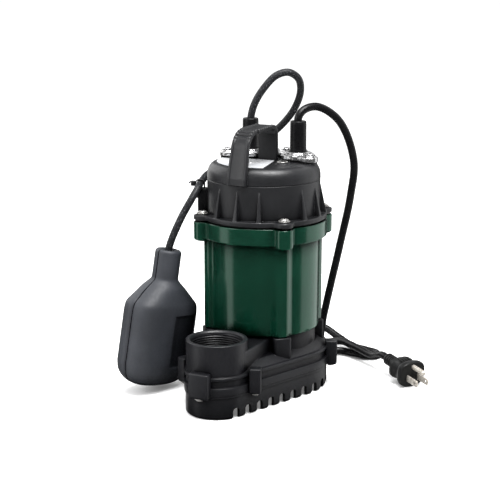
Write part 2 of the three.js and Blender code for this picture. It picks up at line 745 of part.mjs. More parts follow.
// From inside the cap, up through its gland, down behind the pump, once round and out to the plug.
function makePowerCord() {
  return cord([
    vec(gland.x, gland.y, 214),
    vec(gland.x, gland.y, 240),
    vec(gland.x, gland.y, 255),
    vec(gland.x, gland.y, 264),
    vec(29, 28, 271),
    vec(38, 42, 273),
    vec(54, 57, 258),
    vec(65, 68, 219),
    vec(61, 71, 183),
    vec(48, 76, 130),
    vec(31, 84, 68),
    vec(22, 93, 40),
    vec(17, 103, 17),
    vec(24, 114, 6),
    vec(36, 119, 4.2),
    vec(50, 117.5, 4.2),
    vec(62, 115, 4.2),
    vec(71, 120, 4.2),
    vec(69, 129, 4.2),
    vec(56, 134, 4.2),
    vec(36, 141, 4.4),
    vec(16, 148, 10),
    vec(-4, 151, 18),
    vec(-24, 143, 20),
    vec(-33, 128, 14),
    vec(-24, 116, 7),
    vec(-6, 118, 5),
    vec(12, 126, 9),
    vec(32, 121.5, 14),
    vec(46, 114, 14),
    vec(60, 106, 13),
    vec(78, 95, 12),
    onPlugAxis(-40),
    onPlugAxis(-30),
    onPlugAxis(-20.4),
  ], powerCordRadius, 84);
}

const strapPoint = vec(...onCircle(strap.orbit, degrees(strap.angle)), strap.z);

// From inside the cap, up through its gland in a loop, and round the cap to the strap.
function makeFixedFloatCord() {
  return cord([
    vec(-gland.x, gland.y, 214),
    vec(-gland.x, gland.y, 240),
    vec(-gland.x + 0.5, gland.y, 262),
    vec(-22, 24, 276),
    vec(-14, 29, 291),
    vec(-5, 36, 302),
    vec(5, 43, 305),
    vec(12, 50, 299),
    vec(11, 58, 286),
    vec(1, 65, 267),
    vec(-16, 68, 248),
    vec(-36, 61, 231),
    vec(-55, 38, 217),
    vec(-62, 10, 207.5),
    vec(-60.5, -8, 204.4),
    strapPoint.clone().add(vec(-0.7, 4, 1.2)),
  ], floatCordRadius, 48);
}

// From the strap down to the neck of the float. It starts as a ball about the pivot.
function makeTether() {
  const hang = cord([
    strapPoint.clone(),
    vec(-55.5, -32.5, 196.2),
    vec(-57, -42, 187),
    vec(-62.5, -49, 173),
    vec(-69, -53, 157),
    vec(-73.5, -54.5, 145),
    floatNeckTop.clone().add(vec(0.2, 0, 0.5)),
  ], floatCordRadius, 18);
  const ball = solidFrom(new THREE.SphereGeometry(floatCordRadius, 8, 6)).translate(strapPoint.toArray());
  return join(hang, ball);
}

// The strap passes through the post, and round the cord that lies on it.
function makeCableTie() {
  const { left, right, bottom, top } = { left: 57.9, right: 67.2, bottom: tiePost.holeZ - 0.4, top: 204.2 };
  const bandThickness = 0.9;
  const outline = new THREE.Shape();
  outline.moveTo(left - bandThickness, bottom - bandThickness);
  outline.lineTo(right + bandThickness, bottom - bandThickness);
  outline.lineTo(right + bandThickness, top + bandThickness);
  outline.lineTo(left - bandThickness, top + bandThickness);
  outline.closePath();
  const opening = new THREE.Path();
  opening.moveTo(left, bottom);
  opening.lineTo(left, top);
  opening.lineTo(right, top);
  opening.lineTo(right, bottom);
  opening.closePath();
  outline.holes.push(opening);
  const bandWidth = 3.6;
  const band = new THREE.ExtrudeGeometry(outline, { depth: bandWidth, bevelEnabled: false });
  band.translate(0, 0, -bandWidth / 2).rotateX(Math.PI / 2);
  const head = box(4.5, 5.4, 5.5, right + bandThickness + 2, 0, 200.5);
  return join(solidFrom(band), head).rotate([0, 0, strap.angle]);
}

// A section of the plug's body: a rounded rectangle standing across the plug's axis.
function plugSection(halfWidth, halfHeight, x) {
  const squareness = 0.7;
  const facets = 20;
  const grow = (value) => Math.sign(value) * Math.abs(value) ** squareness;
  return Array.from({ length: facets }, (_, i) => {
    const angle = (2 * Math.PI * i) / facets;
    return vec(x, halfWidth * grow(Math.cos(angle)), halfHeight * grow(Math.sin(angle)));
  });
}

const blade = { length: 20.5, thickness: 1.5, width: 6.3, side: 6.35, z: -3 };
const groundPin = { radius: 2.4, z: 8 };

function makePlugBody() {
  const grip = loft([
    plugSection(8, 7, -14),
    plugSection(13.5, 10.5, -8),
    plugSection(11.5, 9, 2),
    plugSection(15, 13, 8),
    plugSection(15, 13, 13),
  ]);
  const relief = disc(6, -30, -10, 12).rotate([0, 90, 0]);
  const cordHole = disc(powerCordRadius + 0.8, -31, -20, 12).rotate([0, 90, 0]);
  const bladeHole = box(8, blade.thickness + 2 * CLEARANCE, blade.width + 2 * CLEARANCE, 13, 0, blade.z);
  const pinHole = disc(groundPin.radius + CLEARANCE, 8, 14, 10).rotate([0, 90, 0]);
  return cut(
    join(grip, relief), cordHole,
    bladeHole.translate([0, blade.side, 0]),
    bladeHole.translate([0, -blade.side, 0]),
    pinHole.translate([0, 0, groundPin.z]),
  );
}

// A grounded plug: body along +X, blades at its far face.
function addPlug() {
  const group = new THREE.Group();
  group.position.set(plug.x, plug.y, plug.z);
  group.rotation.copy(plugTurn);
  addPiece(group, "plug_body", makePlugBody(), materials.rubber);
  const flatBlade = box(blade.length, blade.thickness, blade.width, 20, 0, blade.z);
  addPiece(group, "plug_line_blade", flatBlade, materials.brass, [0, blade.side, 0]);
  addPiece(group, "plug_neutral_blade", flatBlade, materials.brass, [0, -blade.side, 0]);
  const pin = disc(groundPin.radius, 10, 32, 10).rotate([0, 90, 0]);
  addPiece(group, "plug_ground_pin", pin, materials.brass, [0, 0, groundPin.z]);
  pump.add(group);
}

// ---------------------------------------------------------------- float switch

// Heights below the top of the neck, with the half width and half thickness there.
const floatStations = [
  { down: 0, width: 12, thickness: 12 },
  { down: 1.5, width: 12.8, thickness: 12.8 },
  { down: 29, width: 12.8, thickness: 12.8 },
  { down: 36, width: 20, thickness: 18 },
  { down: 51, width: 35.5, thickness: 22.4 },
  { down: 57, width: 37.6, thickness: 23 },
  { down: 112, width: 38, thickness: 23 },
  { down: 124, width: 34.5, thickness: 21 },
  { down: 131.5, width: 27, thickness: 16.5 },
  { down: 134, width: 20, thickness: 11 },
];
const FLOAT_FACETS = 28;
const floatNeck = { holeRadius: floatCordRadius + 0.5, mouthRadius: 8.6, mouthDepth: 3.4 };

// A ring that is round at the neck and a rounded rectangle lower down.
function floatRing({ down, width, thickness }, inset) {
  const squareness = THREE.MathUtils.mapLinear(Math.min(width, 38), 12, 38, 1, 0.62);
  const bulge = (value) => Math.sign(value) * Math.abs(value) ** squareness;
  return Array.from({ length: FLOAT_FACETS }, (_, i) => {
    const angle = (2 * Math.PI * i) / FLOAT_FACETS;
    const x = (width - inset) * bulge(Math.cos(angle));
    const y = (thickness - inset) * bulge(Math.sin(angle));
    return vec(x, y, -down);
  });
}

// The hollow stops short of the neck and of the rounded bottom. The hole's flared mouth lets the cord lean.
function makeFloatForm() {
  const outside = loft(floatStations.map((station) => floatRing(station, 0)));
  const hollowStations = floatStations.slice(3, -2);
  const hollow = loft(hollowStations.map((station) => floatRing(station, floatBody.wall)));
  const { holeRadius, mouthRadius, mouthDepth } = floatNeck;
  const cordHole = disc(holeRadius, -36, 1, 16);
  const mouth = turned([[0, -mouthDepth], [holeRadius, -mouthDepth], [mouthRadius, 0], [mouthRadius, 1], [0, 1]], 16);
  return cut(outside, hollow, cordHole, mouth);
}

// The front (-1) or back (+1) half of the space round the float.
function floatHalf(side) {
  const size = 200;
  const margin = 10;
  return box(size, size, size, 0, side * (size / 2 + CLEARANCE / 2), margin - size / 2);
}

function makeBallTrack() {
  const tube = ring(track.inner, track.outer, track.bottom, track.top, 16);
  return join(tube, disc(track.outer, track.bottom - track.floor, track.bottom + 0.2, 16));
}

function makeFloatSwitch() {
  const { width, depth, height, z } = switchBody;
  return cut(box(width, depth, height, 0, 0, z), disc(plunger.radius + CLEARANCE, -80, z, 12));
}

const track = { inner: 10.6, outer: 12.2, bottom: -122, top: -80, floor: 1.6 };
const ballRadius = 9.5;
const switchBody = { width: 28, depth: 16, height: 18, z: -66 };
const plunger = { radius: 1.8, bottom: -81.5, top: -69 };

// The float hangs leaning from its cord, and holds the switch that a rolling ball works.
function floatGroup() {
  const group = new THREE.Group();
  const swingAxis = vec(Math.sin(swingAngle), -Math.cos(swingAngle), 0);
  const lean = new THREE.Quaternion().setFromAxisAngle(swingAxis, floatBody.lean);
  const facing = new THREE.Quaternion().setFromAxisAngle(vec(0, 0, 1), floatBody.facing);
  group.quaternion.copy(lean.multiply(facing));
  group.position.copy(floatNeckTop);
  return group;
}

function addFloat() {
  const group = floatGroup();
  const whole = makeFloatForm();
  addPiece(group, "float_front_shell", whole.intersect(floatHalf(-1)), materials.floatPlastic);
  addPiece(group, "float_back_shell", whole.intersect(floatHalf(1)), materials.floatPlastic);
  addPiece(group, "ball_track", makeBallTrack(), materials.label);
  const ball = solidFrom(new THREE.SphereGeometry(ballRadius, 12, 8));
  addPiece(group, "float_ball", ball, materials.steel, [0, 0, track.bottom + 0.5 + ballRadius]);
  addPiece(group, "float_switch", makeFloatSwitch(), materials.carbon);
  addPiece(group, "switch_plunger", disc(plunger.radius, plunger.bottom, plunger.top, 12), materials.brass);
  pump.add(group);
}

// ---------------------------------------------------------------- assembly

addBase();
addImpellerAndSeal();
addMotor();
addElectrics();
addCap();
addGland("power", 1, powerCordRadius);
addGland("float", -1, floatCordRadius);
addPiece(pump, "power_cord", makePowerCord(), materials.cordJacket);
addPlug();
addPiece(pump, "float_cord_fixed", makeFixedFloatCord(), materials.cordJacket);
addPiece(pump, "float_cord_tether", makeTether(), materials.cordJacket);
addPiece(pump, "cable_tie", makeCableTie(), materials.plastic);
addFloat();

export default pump;
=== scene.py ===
# Looks for a submersible sump pump with a tethered float switch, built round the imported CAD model.
# Lengths in this script are millimetres in the CAD frame; make_piece turns them into metres.
import math

import bmesh
import bpy
import numpy as np
from mathutils import Matrix, Vector


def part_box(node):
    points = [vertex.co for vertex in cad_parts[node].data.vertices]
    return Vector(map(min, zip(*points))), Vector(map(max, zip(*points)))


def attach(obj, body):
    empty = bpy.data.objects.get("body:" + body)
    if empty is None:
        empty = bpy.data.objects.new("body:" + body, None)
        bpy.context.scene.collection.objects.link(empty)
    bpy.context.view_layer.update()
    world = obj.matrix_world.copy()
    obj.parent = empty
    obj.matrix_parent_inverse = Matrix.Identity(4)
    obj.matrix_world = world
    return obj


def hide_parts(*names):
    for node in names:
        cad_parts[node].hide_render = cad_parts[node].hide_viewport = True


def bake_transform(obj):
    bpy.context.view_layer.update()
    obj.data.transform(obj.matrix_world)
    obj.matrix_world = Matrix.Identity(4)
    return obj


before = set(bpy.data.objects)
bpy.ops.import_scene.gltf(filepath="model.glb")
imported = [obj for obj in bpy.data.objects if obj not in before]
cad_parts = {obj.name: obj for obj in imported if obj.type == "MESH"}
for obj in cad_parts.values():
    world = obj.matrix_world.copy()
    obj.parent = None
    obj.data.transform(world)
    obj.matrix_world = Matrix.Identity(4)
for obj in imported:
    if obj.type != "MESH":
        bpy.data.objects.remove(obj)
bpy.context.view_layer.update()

MM = 0.001
TURN = 2 * math.pi


def box_mm(node):
    """Lowest and highest corner of a CAD node, in millimetres."""
    low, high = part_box(node)
    return np.array(low) / MM, np.array(high) / MM


def middle(node):
    low, high = box_mm(node)
    return (low + high) / 2


def z_range(node):
    """Lowest and highest z of a CAD node, in millimetres."""
    low, high = box_mm(node)
    return low[2], high[2]


# ---- driving dimensions

BASE_BOTTOM, BASE_TOP = z_range("strainer_base")
VOLUTE_BOTTOM, TUBE_TOP = z_range("volute_case")
HOUSING_BOTTOM, HOUSING_TOP = z_range("motor_housing")
CAP_BOTTOM, HANDLE_TOP = z_range("motor_cap")
CAP_TOP = z_range("name_label")[0] - 0.3
PLATE_BOTTOM, PLATE_TOP = z_range("power_gland_plate")

BASE_RADIUS, BASE_CENTRE_Y, NOSE_RADIUS = 61.0, 5.0, 29.5
PORT_Y, PORT_RADIUS, PORT_BORE = -95.7, 28.75, 24.0
BODY_RADIUS, COLLAR_RADIUS, COLLAR_Z = 55.0, 61.5, 152.0
COLUMN_ORBIT, COLUMN_RADIUS = 50.8, 9.5
EAR_ORBIT, EAR_RADIUS = 61.9, 8.5
CAP_RADIUS, CAP_FLAT_RADIUS, CAP_STEP = 54.8, 46.2, 207.0
GLAND_LOBE, GLAND_TURN = 23.0, math.radians(35)
QUARTERS = [math.radians(a) for a in (45, 135, 225, 315)]
POST_ANGLE = math.radians(202.5)
STRAP_POINT = np.array([62.5 * math.cos(POST_ANGLE), 62.5 * math.sin(POST_ANGLE), 199.5])
NECK_TOP = np.array([-75.5, -54.7, 138.5])
FLOAT_LEAN_WAY, FLOAT_LEAN, FLOAT_TURN = (math.radians(a) for a in (232.3, 8.8, 72.6))
PLUG_HEADING, PLUG_DIP = math.radians(-33.5), math.radians(6)
POWER_CORD_RADIUS, FLOAT_CORD_RADIUS = 3.9, 3.6

# ---- shapes: (vertices, faces)


def loft(rings, loop=False):
    """A skin over rings of equal count. A loop joins its last ring to the first, and others are capped."""
    rings = np.asarray(rings, float)
    levels, count = rings.shape[:2]
    faces = []
    for level in range(levels if loop else levels - 1):
        a, b = level * count, (level + 1) % levels * count
        faces += [(a + i, a + (i + 1) % count, b + (i + 1) % count, b + i) for i in range(count)]
    if not loop:
        faces.append(tuple(range(count))[::-1])
        faces.append(tuple((levels - 1) * count + i for i in range(count)))
    return rings.reshape(-1, 3), faces


def bundle(*shapes):
    """Several shapes as one, each still its own island."""
    vertices, faces, start = [], [], 0
    for points, polygons in shapes:
        vertices.append(points)
        faces += [tuple(start + i for i in polygon) for polygon in polygons]
        start += len(points)
    return np.vstack(vertices), faces


def moved(shape, x=0.0, y=0.0, z=0.0, turn=0.0):
    """A shape turned about Z and then shifted."""
    points, faces = shape
    c, s = math.cos(turn), math.sin(turn)
    turned = points @ np.array([[c, s, 0], [-s, c, 0], [0, 0, 1]])
    return turned + np.array([x, y, z]), faces


def over(node, shape):
    """A shape made round the Z axis, shifted to stand round the middle of a CAD node."""
    x, y, _ = middle(node)
    return moved(shape, x, y)


def placed(shape, matrix):
    points, faces = shape
    m = np.array(matrix)
    return points @ m[:3, :3].T + m[:3, 3], faces


def rounded(corners, closed=False, steps=4):
    """A polyline through (x, y, radius) corners, each rounded by its radius."""
    out, count = [], len(corners)
    for i, corner in enumerate(corners):
        here = np.array(corner[:2], float)
        radius = corner[2] if len(corner) > 2 else 0
        if radius == 0 or (not closed and i in (0, count - 1)):
            out.append(here)
            continue
        back = np.array(corners[i - 1][:2]) - here
        ahead = np.array(corners[(i + 1) % count][:2]) - here
        back, ahead = back / np.linalg.norm(back), ahead / np.linalg.norm(ahead)
        half = math.acos(float(np.clip(back @ ahead, -1, 1))) / 2
        inward = (back + ahead) / np.linalg.norm(back + ahead)
        centre = here + inward * radius / math.sin(half)
        u = here + back * radius / math.tan(half) - centre
        v = here + ahead * radius / math.tan(half) - centre
        angle = math.pi - 2 * half
        for t in np.linspace(0, 1, steps + 1):
            out.append(centre + (math.sin((1 - t) * angle) * u + math.sin(t * angle) * v) / math.sin(angle))
    return np.array(out)


def directions(count):
    return np.arange(count) * TURN / count


def circle(radius, count, z=0.0):
    """A ring about the Z axis. The radius may be an array with a value for each of its points."""
    angles = directions(count)
    return np.column_stack([radius * np.cos(angles), radius * np.sin(angles), np.full(count, z)])


def lathe(profile, count=96, loop=False):
    """(radius, z) points turned about Z. With loop, the profile is a closed tube wall."""
    return loft([circle(r, count, z) for r, z in profile], loop)


def disc(radius, bottom, top, edge=0.5, count=64):
    """A round plate with rounded edges."""
    corners = [(0.01, bottom), (radius, bottom, edge), (radius, top, edge), (0.01, top)]
    return lathe(rounded(corners), count)


def inset(outline, distance):
    """A closed outline moved inwards, along the mitred normals of its corners."""
    ahead = np.roll(outline, -1, 0) - outline
    normal = np.column_stack([ahead[:, 1], -ahead[:, 0]])
    normal /= np.linalg.norm(normal, axis=1)[:, None]
    before = np.roll(normal, 1, 0)
    mitre = (normal + before) / (1 + (normal * before).sum(1))[:, None]
    return outline - mitre * distance


def at_height(outline, z):
    return np.column_stack([outline, np.full(len(outline), z)])


def at_depth(outline, y):
    return np.column_stack([outline[:, 0], np.full(len(outline), y), outline[:, 1]])


def prism(outline, bottom, top, edge=0.8, steps=3):
    """A counterclockwise outline raised from bottom to top, with rounded rims."""
    quarter = np.linspace(0, math.pi / 2, steps + 1)
    rims = [(t, bottom, edge) for t in quarter] + [(t, top, -edge) for t in quarter[::-1]]
    return loft([at_height(inset(outline, edge * (1 - math.sin(t))), z + inward * (1 - math.cos(t)))
                 for t, z, inward in rims])


def rectangle(width, depth, corner=1.0, steps=4):
    x, y = width / 2, depth / 2
    return rounded([(x, -y, corner), (x, y, corner), (-x, y, corner), (-x, -y, corner)], True, steps)


def block(width, depth, height, corner=1.0, edge=0.8):
    """A box standing on z = 0 with all its edges rounded."""
    return prism(rectangle(width, depth, corner), 0, height, edge)


def run_along(line):
    """How far along a polyline each of its points is."""
    return np.concatenate([[0], np.cumsum(np.linalg.norm(np.diff(line, axis=0), axis=1))])


def between(t, start, end, first, last):
    """A straight blend that is first where t is start, and last where t is end."""
    return ((end - t) * first + (t - start) * last) / (end - start)


def catmull_rom(controls, per_span=10):
    """A centripetal Catmull-Rom curve through the control points."""
    p = np.array(controls, float)
    p = np.vstack([2 * p[0] - p[1], p, 2 * p[-1] - p[-2]])
    knots = np.concatenate([[0], np.cumsum(np.linalg.norm(np.diff(p, axis=0), axis=1) ** 0.5)])
    out = []
    for i in range(1, len(p) - 2):
        k, (p0, p1, p2, p3) = knots[i - 1 : i + 3], p[i - 1 : i + 3]
        for t in np.linspace(k[1], k[2], per_span, endpoint=False):
            inner = between(t, k[1], k[2], p1, p2)
            first = between(t, k[0], k[2], between(t, k[0], k[1], p0, p1), inner)
            last = between(t, k[1], k[3], inner, between(t, k[2], k[3], p2, p3))
            out.append(between(t, k[1], k[2], first, last))
    out.append(p[-2])
    return np.array(out)


def sweep(path, section):
    """A section outline carried along a path without twisting."""
    tangents = np.gradient(path, axis=0)
    tangents /= np.linalg.norm(tangents, axis=1)[:, None]
    side = np.cross(tangents[0], [0.31, 0.17, 0.93])
    rings = []
    for point, tangent in zip(path, tangents):
        side = side - tangent * (side @ tangent)
        side /= np.linalg.norm(side)
        up = np.cross(tangent, side)
        rings.append(point + np.outer(section[:, 0], side) + np.outer(section[:, 1], up))
    return loft(rings)


def round_section(radius):
    return circle(radius, 24)[:, :2]


# ---- joining, cutting and placing


def to_object(name, shape, scale=1.0):
    points, faces = shape
    mesh = bpy.data.meshes.new(name)
    mesh.from_pydata((points * scale).tolist(), [], faces)
    work = bmesh.new()
    work.from_mesh(mesh)
    bmesh.ops.recalc_face_normals(work, faces=work.faces)
    work.to_mesh(mesh)
    work.free()
    obj = bpy.data.objects.new(name, mesh)
    bpy.context.scene.collection.objects.link(obj)
    return obj


def cut(shape, *tools):
    """A shape with each tool taken away from it."""
    target = to_object("cut_target", shape)
    helpers = [to_object("cut_tool", tool) for tool in tools]
    for helper in helpers:
        step = target.modifiers.new("cut", "BOOLEAN")
        step.operation, step.solver, step.object = "DIFFERENCE", "EXACT", helper
    shown = target.evaluated_get(bpy.context.evaluated_depsgraph_get())
    mesh = bpy.data.meshes.new_from_object(shown)
    points = np.array([v.co for v in mesh.vertices])
    faces = [tuple(p.vertices) for p in mesh.polygons]
    for obj in [target, *helpers]:
        bpy.data.meshes.remove(obj.data)
    bpy.data.meshes.remove(mesh)
    return points, faces


def make_piece(name, shape, material, node, body="pump", crease=35):
    """A finished piece that stands for a CAD node and rides on a body, if it is given one."""
    obj = to_object(name, shape, MM)
    obj.data.polygons.foreach_set("use_smooth", [True] * len(obj.data.polygons))
    obj.data.set_sharp_from_angle(angle=math.radians(crease))
    obj.data.materials.append(material)
    if body:
        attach(obj, body)
    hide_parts(*([node] if node else []))
    return obj


# ---- materials


def plug_in(node, key, value):
    """Sets an input of a shader node, or links it when the value is another node's output."""
    socket = node.inputs[key.replace("_", " ") if isinstance(key, str) else key]
    if isinstance(value, bpy.types.NodeSocket):
        node.id_data.links.new(value, socket)
    else:
        socket.default_value = value


def feed(node, **values):
    for key, value in values.items():
        plug_in(node, key, value)


def add(tree, kind, settings=None, **inputs):
    """A shader node with its settings, and its inputs set or linked by name."""
    node = tree.nodes.new(kind)
    for key, value in (settings or {}).items():
        setattr(node, key, value)
    feed(node, **inputs)
    return node


def noise(tree, where, scale, detail=3.0, roughness=0.55):
    return add(tree, "ShaderNodeTexNoise", Vector=where, Scale=scale, Detail=detail,
               Roughness=roughness).outputs["Fac"]


def remap(tree, value, low, high, out_low=0.0, out_high=1.0):
    return add(tree, "ShaderNodeMapRange", Value=value, From_Min=low, From_Max=high,
               To_Min=out_low, To_Max=out_high).outputs["Result"]


def blend_colour(tree, factor, first, second):
    node = add(tree, "ShaderNodeMix", {"data_type": "RGBA"})
    plug_in(node, 0, factor)
    for index, colour in ((6, first), (7, second)):
        plug_in(node, index, colour if isinstance(colour, bpy.types.NodeSocket) else (*colour, 1.0))
    return node.outputs[2]


def bump(tree, height, strength, depth, normal=None):
    node = add(tree, "ShaderNodeBump", Height=height, Strength=strength, Distance=depth * MM)
    if normal is not None:
        plug_in(node, "Normal", normal)
    return node.outputs["Normal"]


def shaded(colour, share):
    return [c * share for c in colour]


def rounded_normal(tree, radius, samples=6):
    """The surface normal as if the edges were rounded."""
    return add(tree, "ShaderNodeBevel", {"samples": samples}, Radius=radius * MM).outputs["Normal"]


def begin(name, slot=None):
    """A new material with a principled shader. Its slot has its own name unless another is given."""
    material = bpy.data.materials.new(name)
    material.use_nodes = True
    material["slot"] = slot or name
    tree = material.node_tree
    tree.nodes.clear()
    shader = add(tree, "ShaderNodeBsdfPrincipled")
    add(tree, "ShaderNodeOutputMaterial", Surface=shader.outputs["BSDF"])
    where = add(tree, "ShaderNodeTexCoord").outputs["Object"]
    return material, tree, shader, where


def edge_mask(tree, soft_normal):
    """1 along edges, where the rounded normal leaves the true one, and 0 on open faces."""
    dot = add(tree, "ShaderNodeVectorMath", {"operation": "DOT_PRODUCT"})
    plug_in(dot, 0, add(tree, "ShaderNodeNewGeometry").outputs["Normal"])
    plug_in(dot, 1, soft_normal)
    return remap(tree, dot.outputs["Value"], 0.995, 0.75)


def openness(tree, distance=36.0):
    """1 on open faces, falling toward 0 in corners and deep recesses; the materials use it to paint shade
    there.
    """
    return add(tree, "ShaderNodeAmbientOcclusion", {"samples": 4}, Distance=distance * MM).outputs["AO"]


def cloudy(tree, where, scale, colour, lift, detail=3.0):
    """A colour with soft patches of a lighter one."""
    cloud = remap(tree, noise(tree, where, scale, detail), 0.35, 0.7)
    return blend_colour(tree, cloud, colour, shaded(colour, lift))


def moulded(name, colour, roughness, slot=None, round_edge=0.7, grain=1400, relief=0.25, dark=(0.25, 0.85)):
    """Moulded plastic: fine grain, cloudy tone, edges lighter as wear and a painted highlight, and painted
    shade in recesses over a range.
    """
    material, tree, shader, where = begin(name, slot)
    soft = rounded_normal(tree, round_edge)
    tone = cloudy(tree, where, 28, colour, 1.35)
    # Edges painted lighter: partly wear, partly a painted highlight.
    tone = blend_colour(tree, edge_mask(tree, soft), tone, [min(0.8, 2.4 * c + 0.024) for c in colour])
    # Painted shade in recesses and corners: darker colour and less reflection there.
    open_face = openness(tree)
    tone = blend_colour(tree, remap(tree, open_face, *dark), shaded(colour, 0.2), tone)
    dust = noise(tree, where, 420, 4.0)
    gloss = remap(tree, dust, 0.3, 0.7, roughness - 0.07, roughness + 0.08)
    surface = bump(tree, noise(tree, where, grain, 2.0), relief, 0.08, soft)
    feed(shader, Base_Color=tone, Roughness=gloss, Normal=surface,
         Specular_IOR_Level=remap(tree, open_face, *dark, 0.03, 0.5))
    return material


def hammered_paint():
    """Dark green enamel over a casting: a finely pebbled surface under a glossy coat, with a painted
    highlight on its edges and painted shade in corners such as under the collar, where coat and reflection
    fade too.
    """
    material, tree, shader, where = begin("green_hammered_paint", "housing_paint")
    soft = rounded_normal(tree, 1.1)
    pebbles = noise(tree, where, 480, 1.0, 0.4)
    tone = cloudy(tree, where, 18, (0.0013, 0.021, 0.0124), 1.4, 2.0)
    tone = blend_colour(tree, remap(tree, pebbles, 0.45, 0.75, 0.0, 0.20), tone, (0.005, 0.052, 0.034))
    # A painted highlight along the edges.
    tone = blend_colour(tree, edge_mask(tree, soft), tone, (0.010, 0.09, 0.052))
    # Painted shade in corners, such as the shadow under the collar.
    open_face = remap(tree, openness(tree, 15.0), 0.73, 0.93)
    tone = blend_colour(tree, open_face, (0.0002, 0.0025, 0.0012), tone)
    surface = bump(tree, pebbles, 0.24, 0.10, soft)
    feed(shader, Base_Color=tone, Roughness=remap(tree, pebbles, 0.3, 0.7, 0.17, 0.25), Normal=surface,
         Coat_Weight=remap(tree, open_face, 0.0, 1.0, 0.0, 0.75), Coat_Roughness=0.14,
         Coat_Tint=(0.75, 1.0, 0.88, 1.0), Specular_Tint=(0.7, 1.0, 0.85, 1.0),
         Specular_IOR_Level=remap(tree, open_face, 0.0, 1.0, 0.05, 0.6))
    return material


def metal(name, colour, roughness, brushed, slot=None, relief=0.12, tarnish=None, bare=1.0):
    """Bare or plated metal with fine tool marks, a little tarnish and painted shade in recesses. Dull plating
    is less bare.
    """
    material, tree, shader, where = begin(name, slot)
    scale = brushed if isinstance(brushed, tuple) else (brushed, brushed, brushed)
    marks = noise(tree, add(tree, "ShaderNodeMapping", Vector=where, Scale=scale).outputs["Vector"], 1.0, 4.0)
    stain = remap(tree, noise(tree, where, 160, 4.0), 0.5, 0.75, 0.0, 0.6)
    tone = blend_colour(tree, stain, colour, tarnish or shaded(colour, 0.6))
    # Painted shade in recesses.
    recess = remap(tree, openness(tree, 6.0), 0.35, 0.85)
    tone = blend_colour(tree, recess, shaded(colour, 0.08), tone)
    gloss = remap(tree, marks, 0.3, 0.7, roughness * 0.8, roughness * 1.35)
    surface = bump(tree, marks, relief, 0.05, rounded_normal(tree, 0.25, 4))
    feed(shader, Base_Color=tone, Metallic=bare, Roughness=gloss, Normal=surface)
    return material


def rubber(name, colour, roughness, slot=None, speckle=0.0):
    """Extruded or moulded rubber: dull, finely pitted, with dusty specks where speckle is above 0."""
    material, tree, shader, where = begin(name, slot)
    pits = noise(tree, where, 900, 3.0)
    tone = cloudy(tree, where, 60, colour, 1.5)
    specks = remap(tree, noise(tree, where, 760, 2.0), 0.60, 0.68, 0.0, speckle)
    tone = blend_colour(tree, specks, tone, (0.16, 0.165, 0.175))
    gloss = remap(tree, pits, 0.3, 0.7, roughness - 0.06, roughness + 0.1)
    feed(shader, Base_Color=tone, Roughness=gloss, Normal=bump(tree, pits, 0.3, 0.09),
         Specular_IOR_Level=0.24)
    return material


def banded(name, colour, groove, pitch, roughness, metallic):
    """Stacked sheets or wound wire: even bands along Z, darker in the grooves."""
    material, tree, shader, where = begin(name)
    wave = add(tree, "ShaderNodeTexWave", {"bands_direction": "Z"}, Vector=where,
               Scale=TURN / (20 * pitch * MM), Distortion=0.4, Detail=2.0).outputs["Fac"]
    tone = blend_colour(tree, remap(tree, wave, 0.1, 0.7), groove, colour)
    tone = blend_colour(tree, remap(tree, noise(tree, where, 90), 0.45, 0.75, 0.0, 0.5), tone, groove)
    feed(shader, Base_Color=tone, Metallic=metallic, Normal=bump(tree, wave, 0.5, 0.2),
         Roughness=remap(tree, wave, 0.0, 1.0, roughness + 0.15, roughness))
    return material


def label_film():
    """A blank white printed film, with a faint grey bloom and a slightly wavy surface."""
    material, tree, shader, where = begin("label_film")
    cloud = noise(tree, where, 45, 3.0)
    bloom = remap(tree, cloud, 0.45, 0.75)
    tone = blend_colour(tree, bloom, (0.70, 0.71, 0.73), (0.48, 0.50, 0.53))
    wave = noise(tree, where, 70, 1.0)
    feed(shader, Base_Color=tone, Roughness=remap(tree, cloud, 0.3, 0.7, 0.22, 0.34),
         Normal=bump(tree, wave, 0.15, 0.3), Coat_Weight=0.3)
    return material


charcoal = moulded("charcoal_plastic", (0.0105, 0.0108, 0.0122), 0.38, "pump_plastic")
# A darker copy of the charcoal plastic for the low base: its extra darkness is painted shade, with stronger
# painted shade in its recesses.
shaded_base_plastic = moulded("shaded_base_plastic", (0.0074, 0.0076, 0.0096), 0.40, "pump_plastic", dark=(0.42, 0.92))
impeller_plastic = moulded("impeller_plastic", (0.022, 0.022, 0.024), 0.5, "pump_plastic")
float_plastic = moulded("float_plastic", (0.0262, 0.0288, 0.0352), 0.54, None, 0.6, 620, 0.6)
panel_plastic = moulded("float_panel", (0.007, 0.008, 0.011), 0.55, "float_plastic", 0.4, 700, 0.5)
switch_plastic = moulded("switch_plastic", (0.016, 0.016, 0.017), 0.5, round_edge=0.3)
track_plastic = moulded("track_plastic", (0.62, 0.61, 0.57), 0.35, round_edge=0.3)
capacitor_case = moulded("capacitor_case", (0.02, 0.022, 0.028), 0.3, round_edge=0.8)
seal_carbon = moulded("seal_carbon", (0.012, 0.012, 0.013), 0.45, round_edge=0.2)
seal_ceramic = moulded("seal_ceramic", (0.72, 0.70, 0.63), 0.18, round_edge=0.2, grain=2400, relief=0.1)
paint = hammered_paint()
chrome = metal("chrome_plate", (0.76, 0.76, 0.77), 0.17, 90, None, 0.01, (0.66, 0.65, 0.63), 0.93)
zinc = metal("zinc_plate", (0.60, 0.59, 0.57), 0.30, 300, "zinc_screw", 0.2, (0.34, 0.32, 0.29), 0.85)
socket_black = metal("socket_black", (0.030, 0.030, 0.032), 0.5, 300, "plain_steel", 0.2, bare=0.5)
steel = metal("ground_steel", (0.56, 0.57, 0.59), 0.24, (80, 80, 2200), "plain_steel")
cast_aluminium = metal("cast_aluminium", (0.50, 0.51, 0.53), 0.42, 500, "cast_bracket", 0.5)
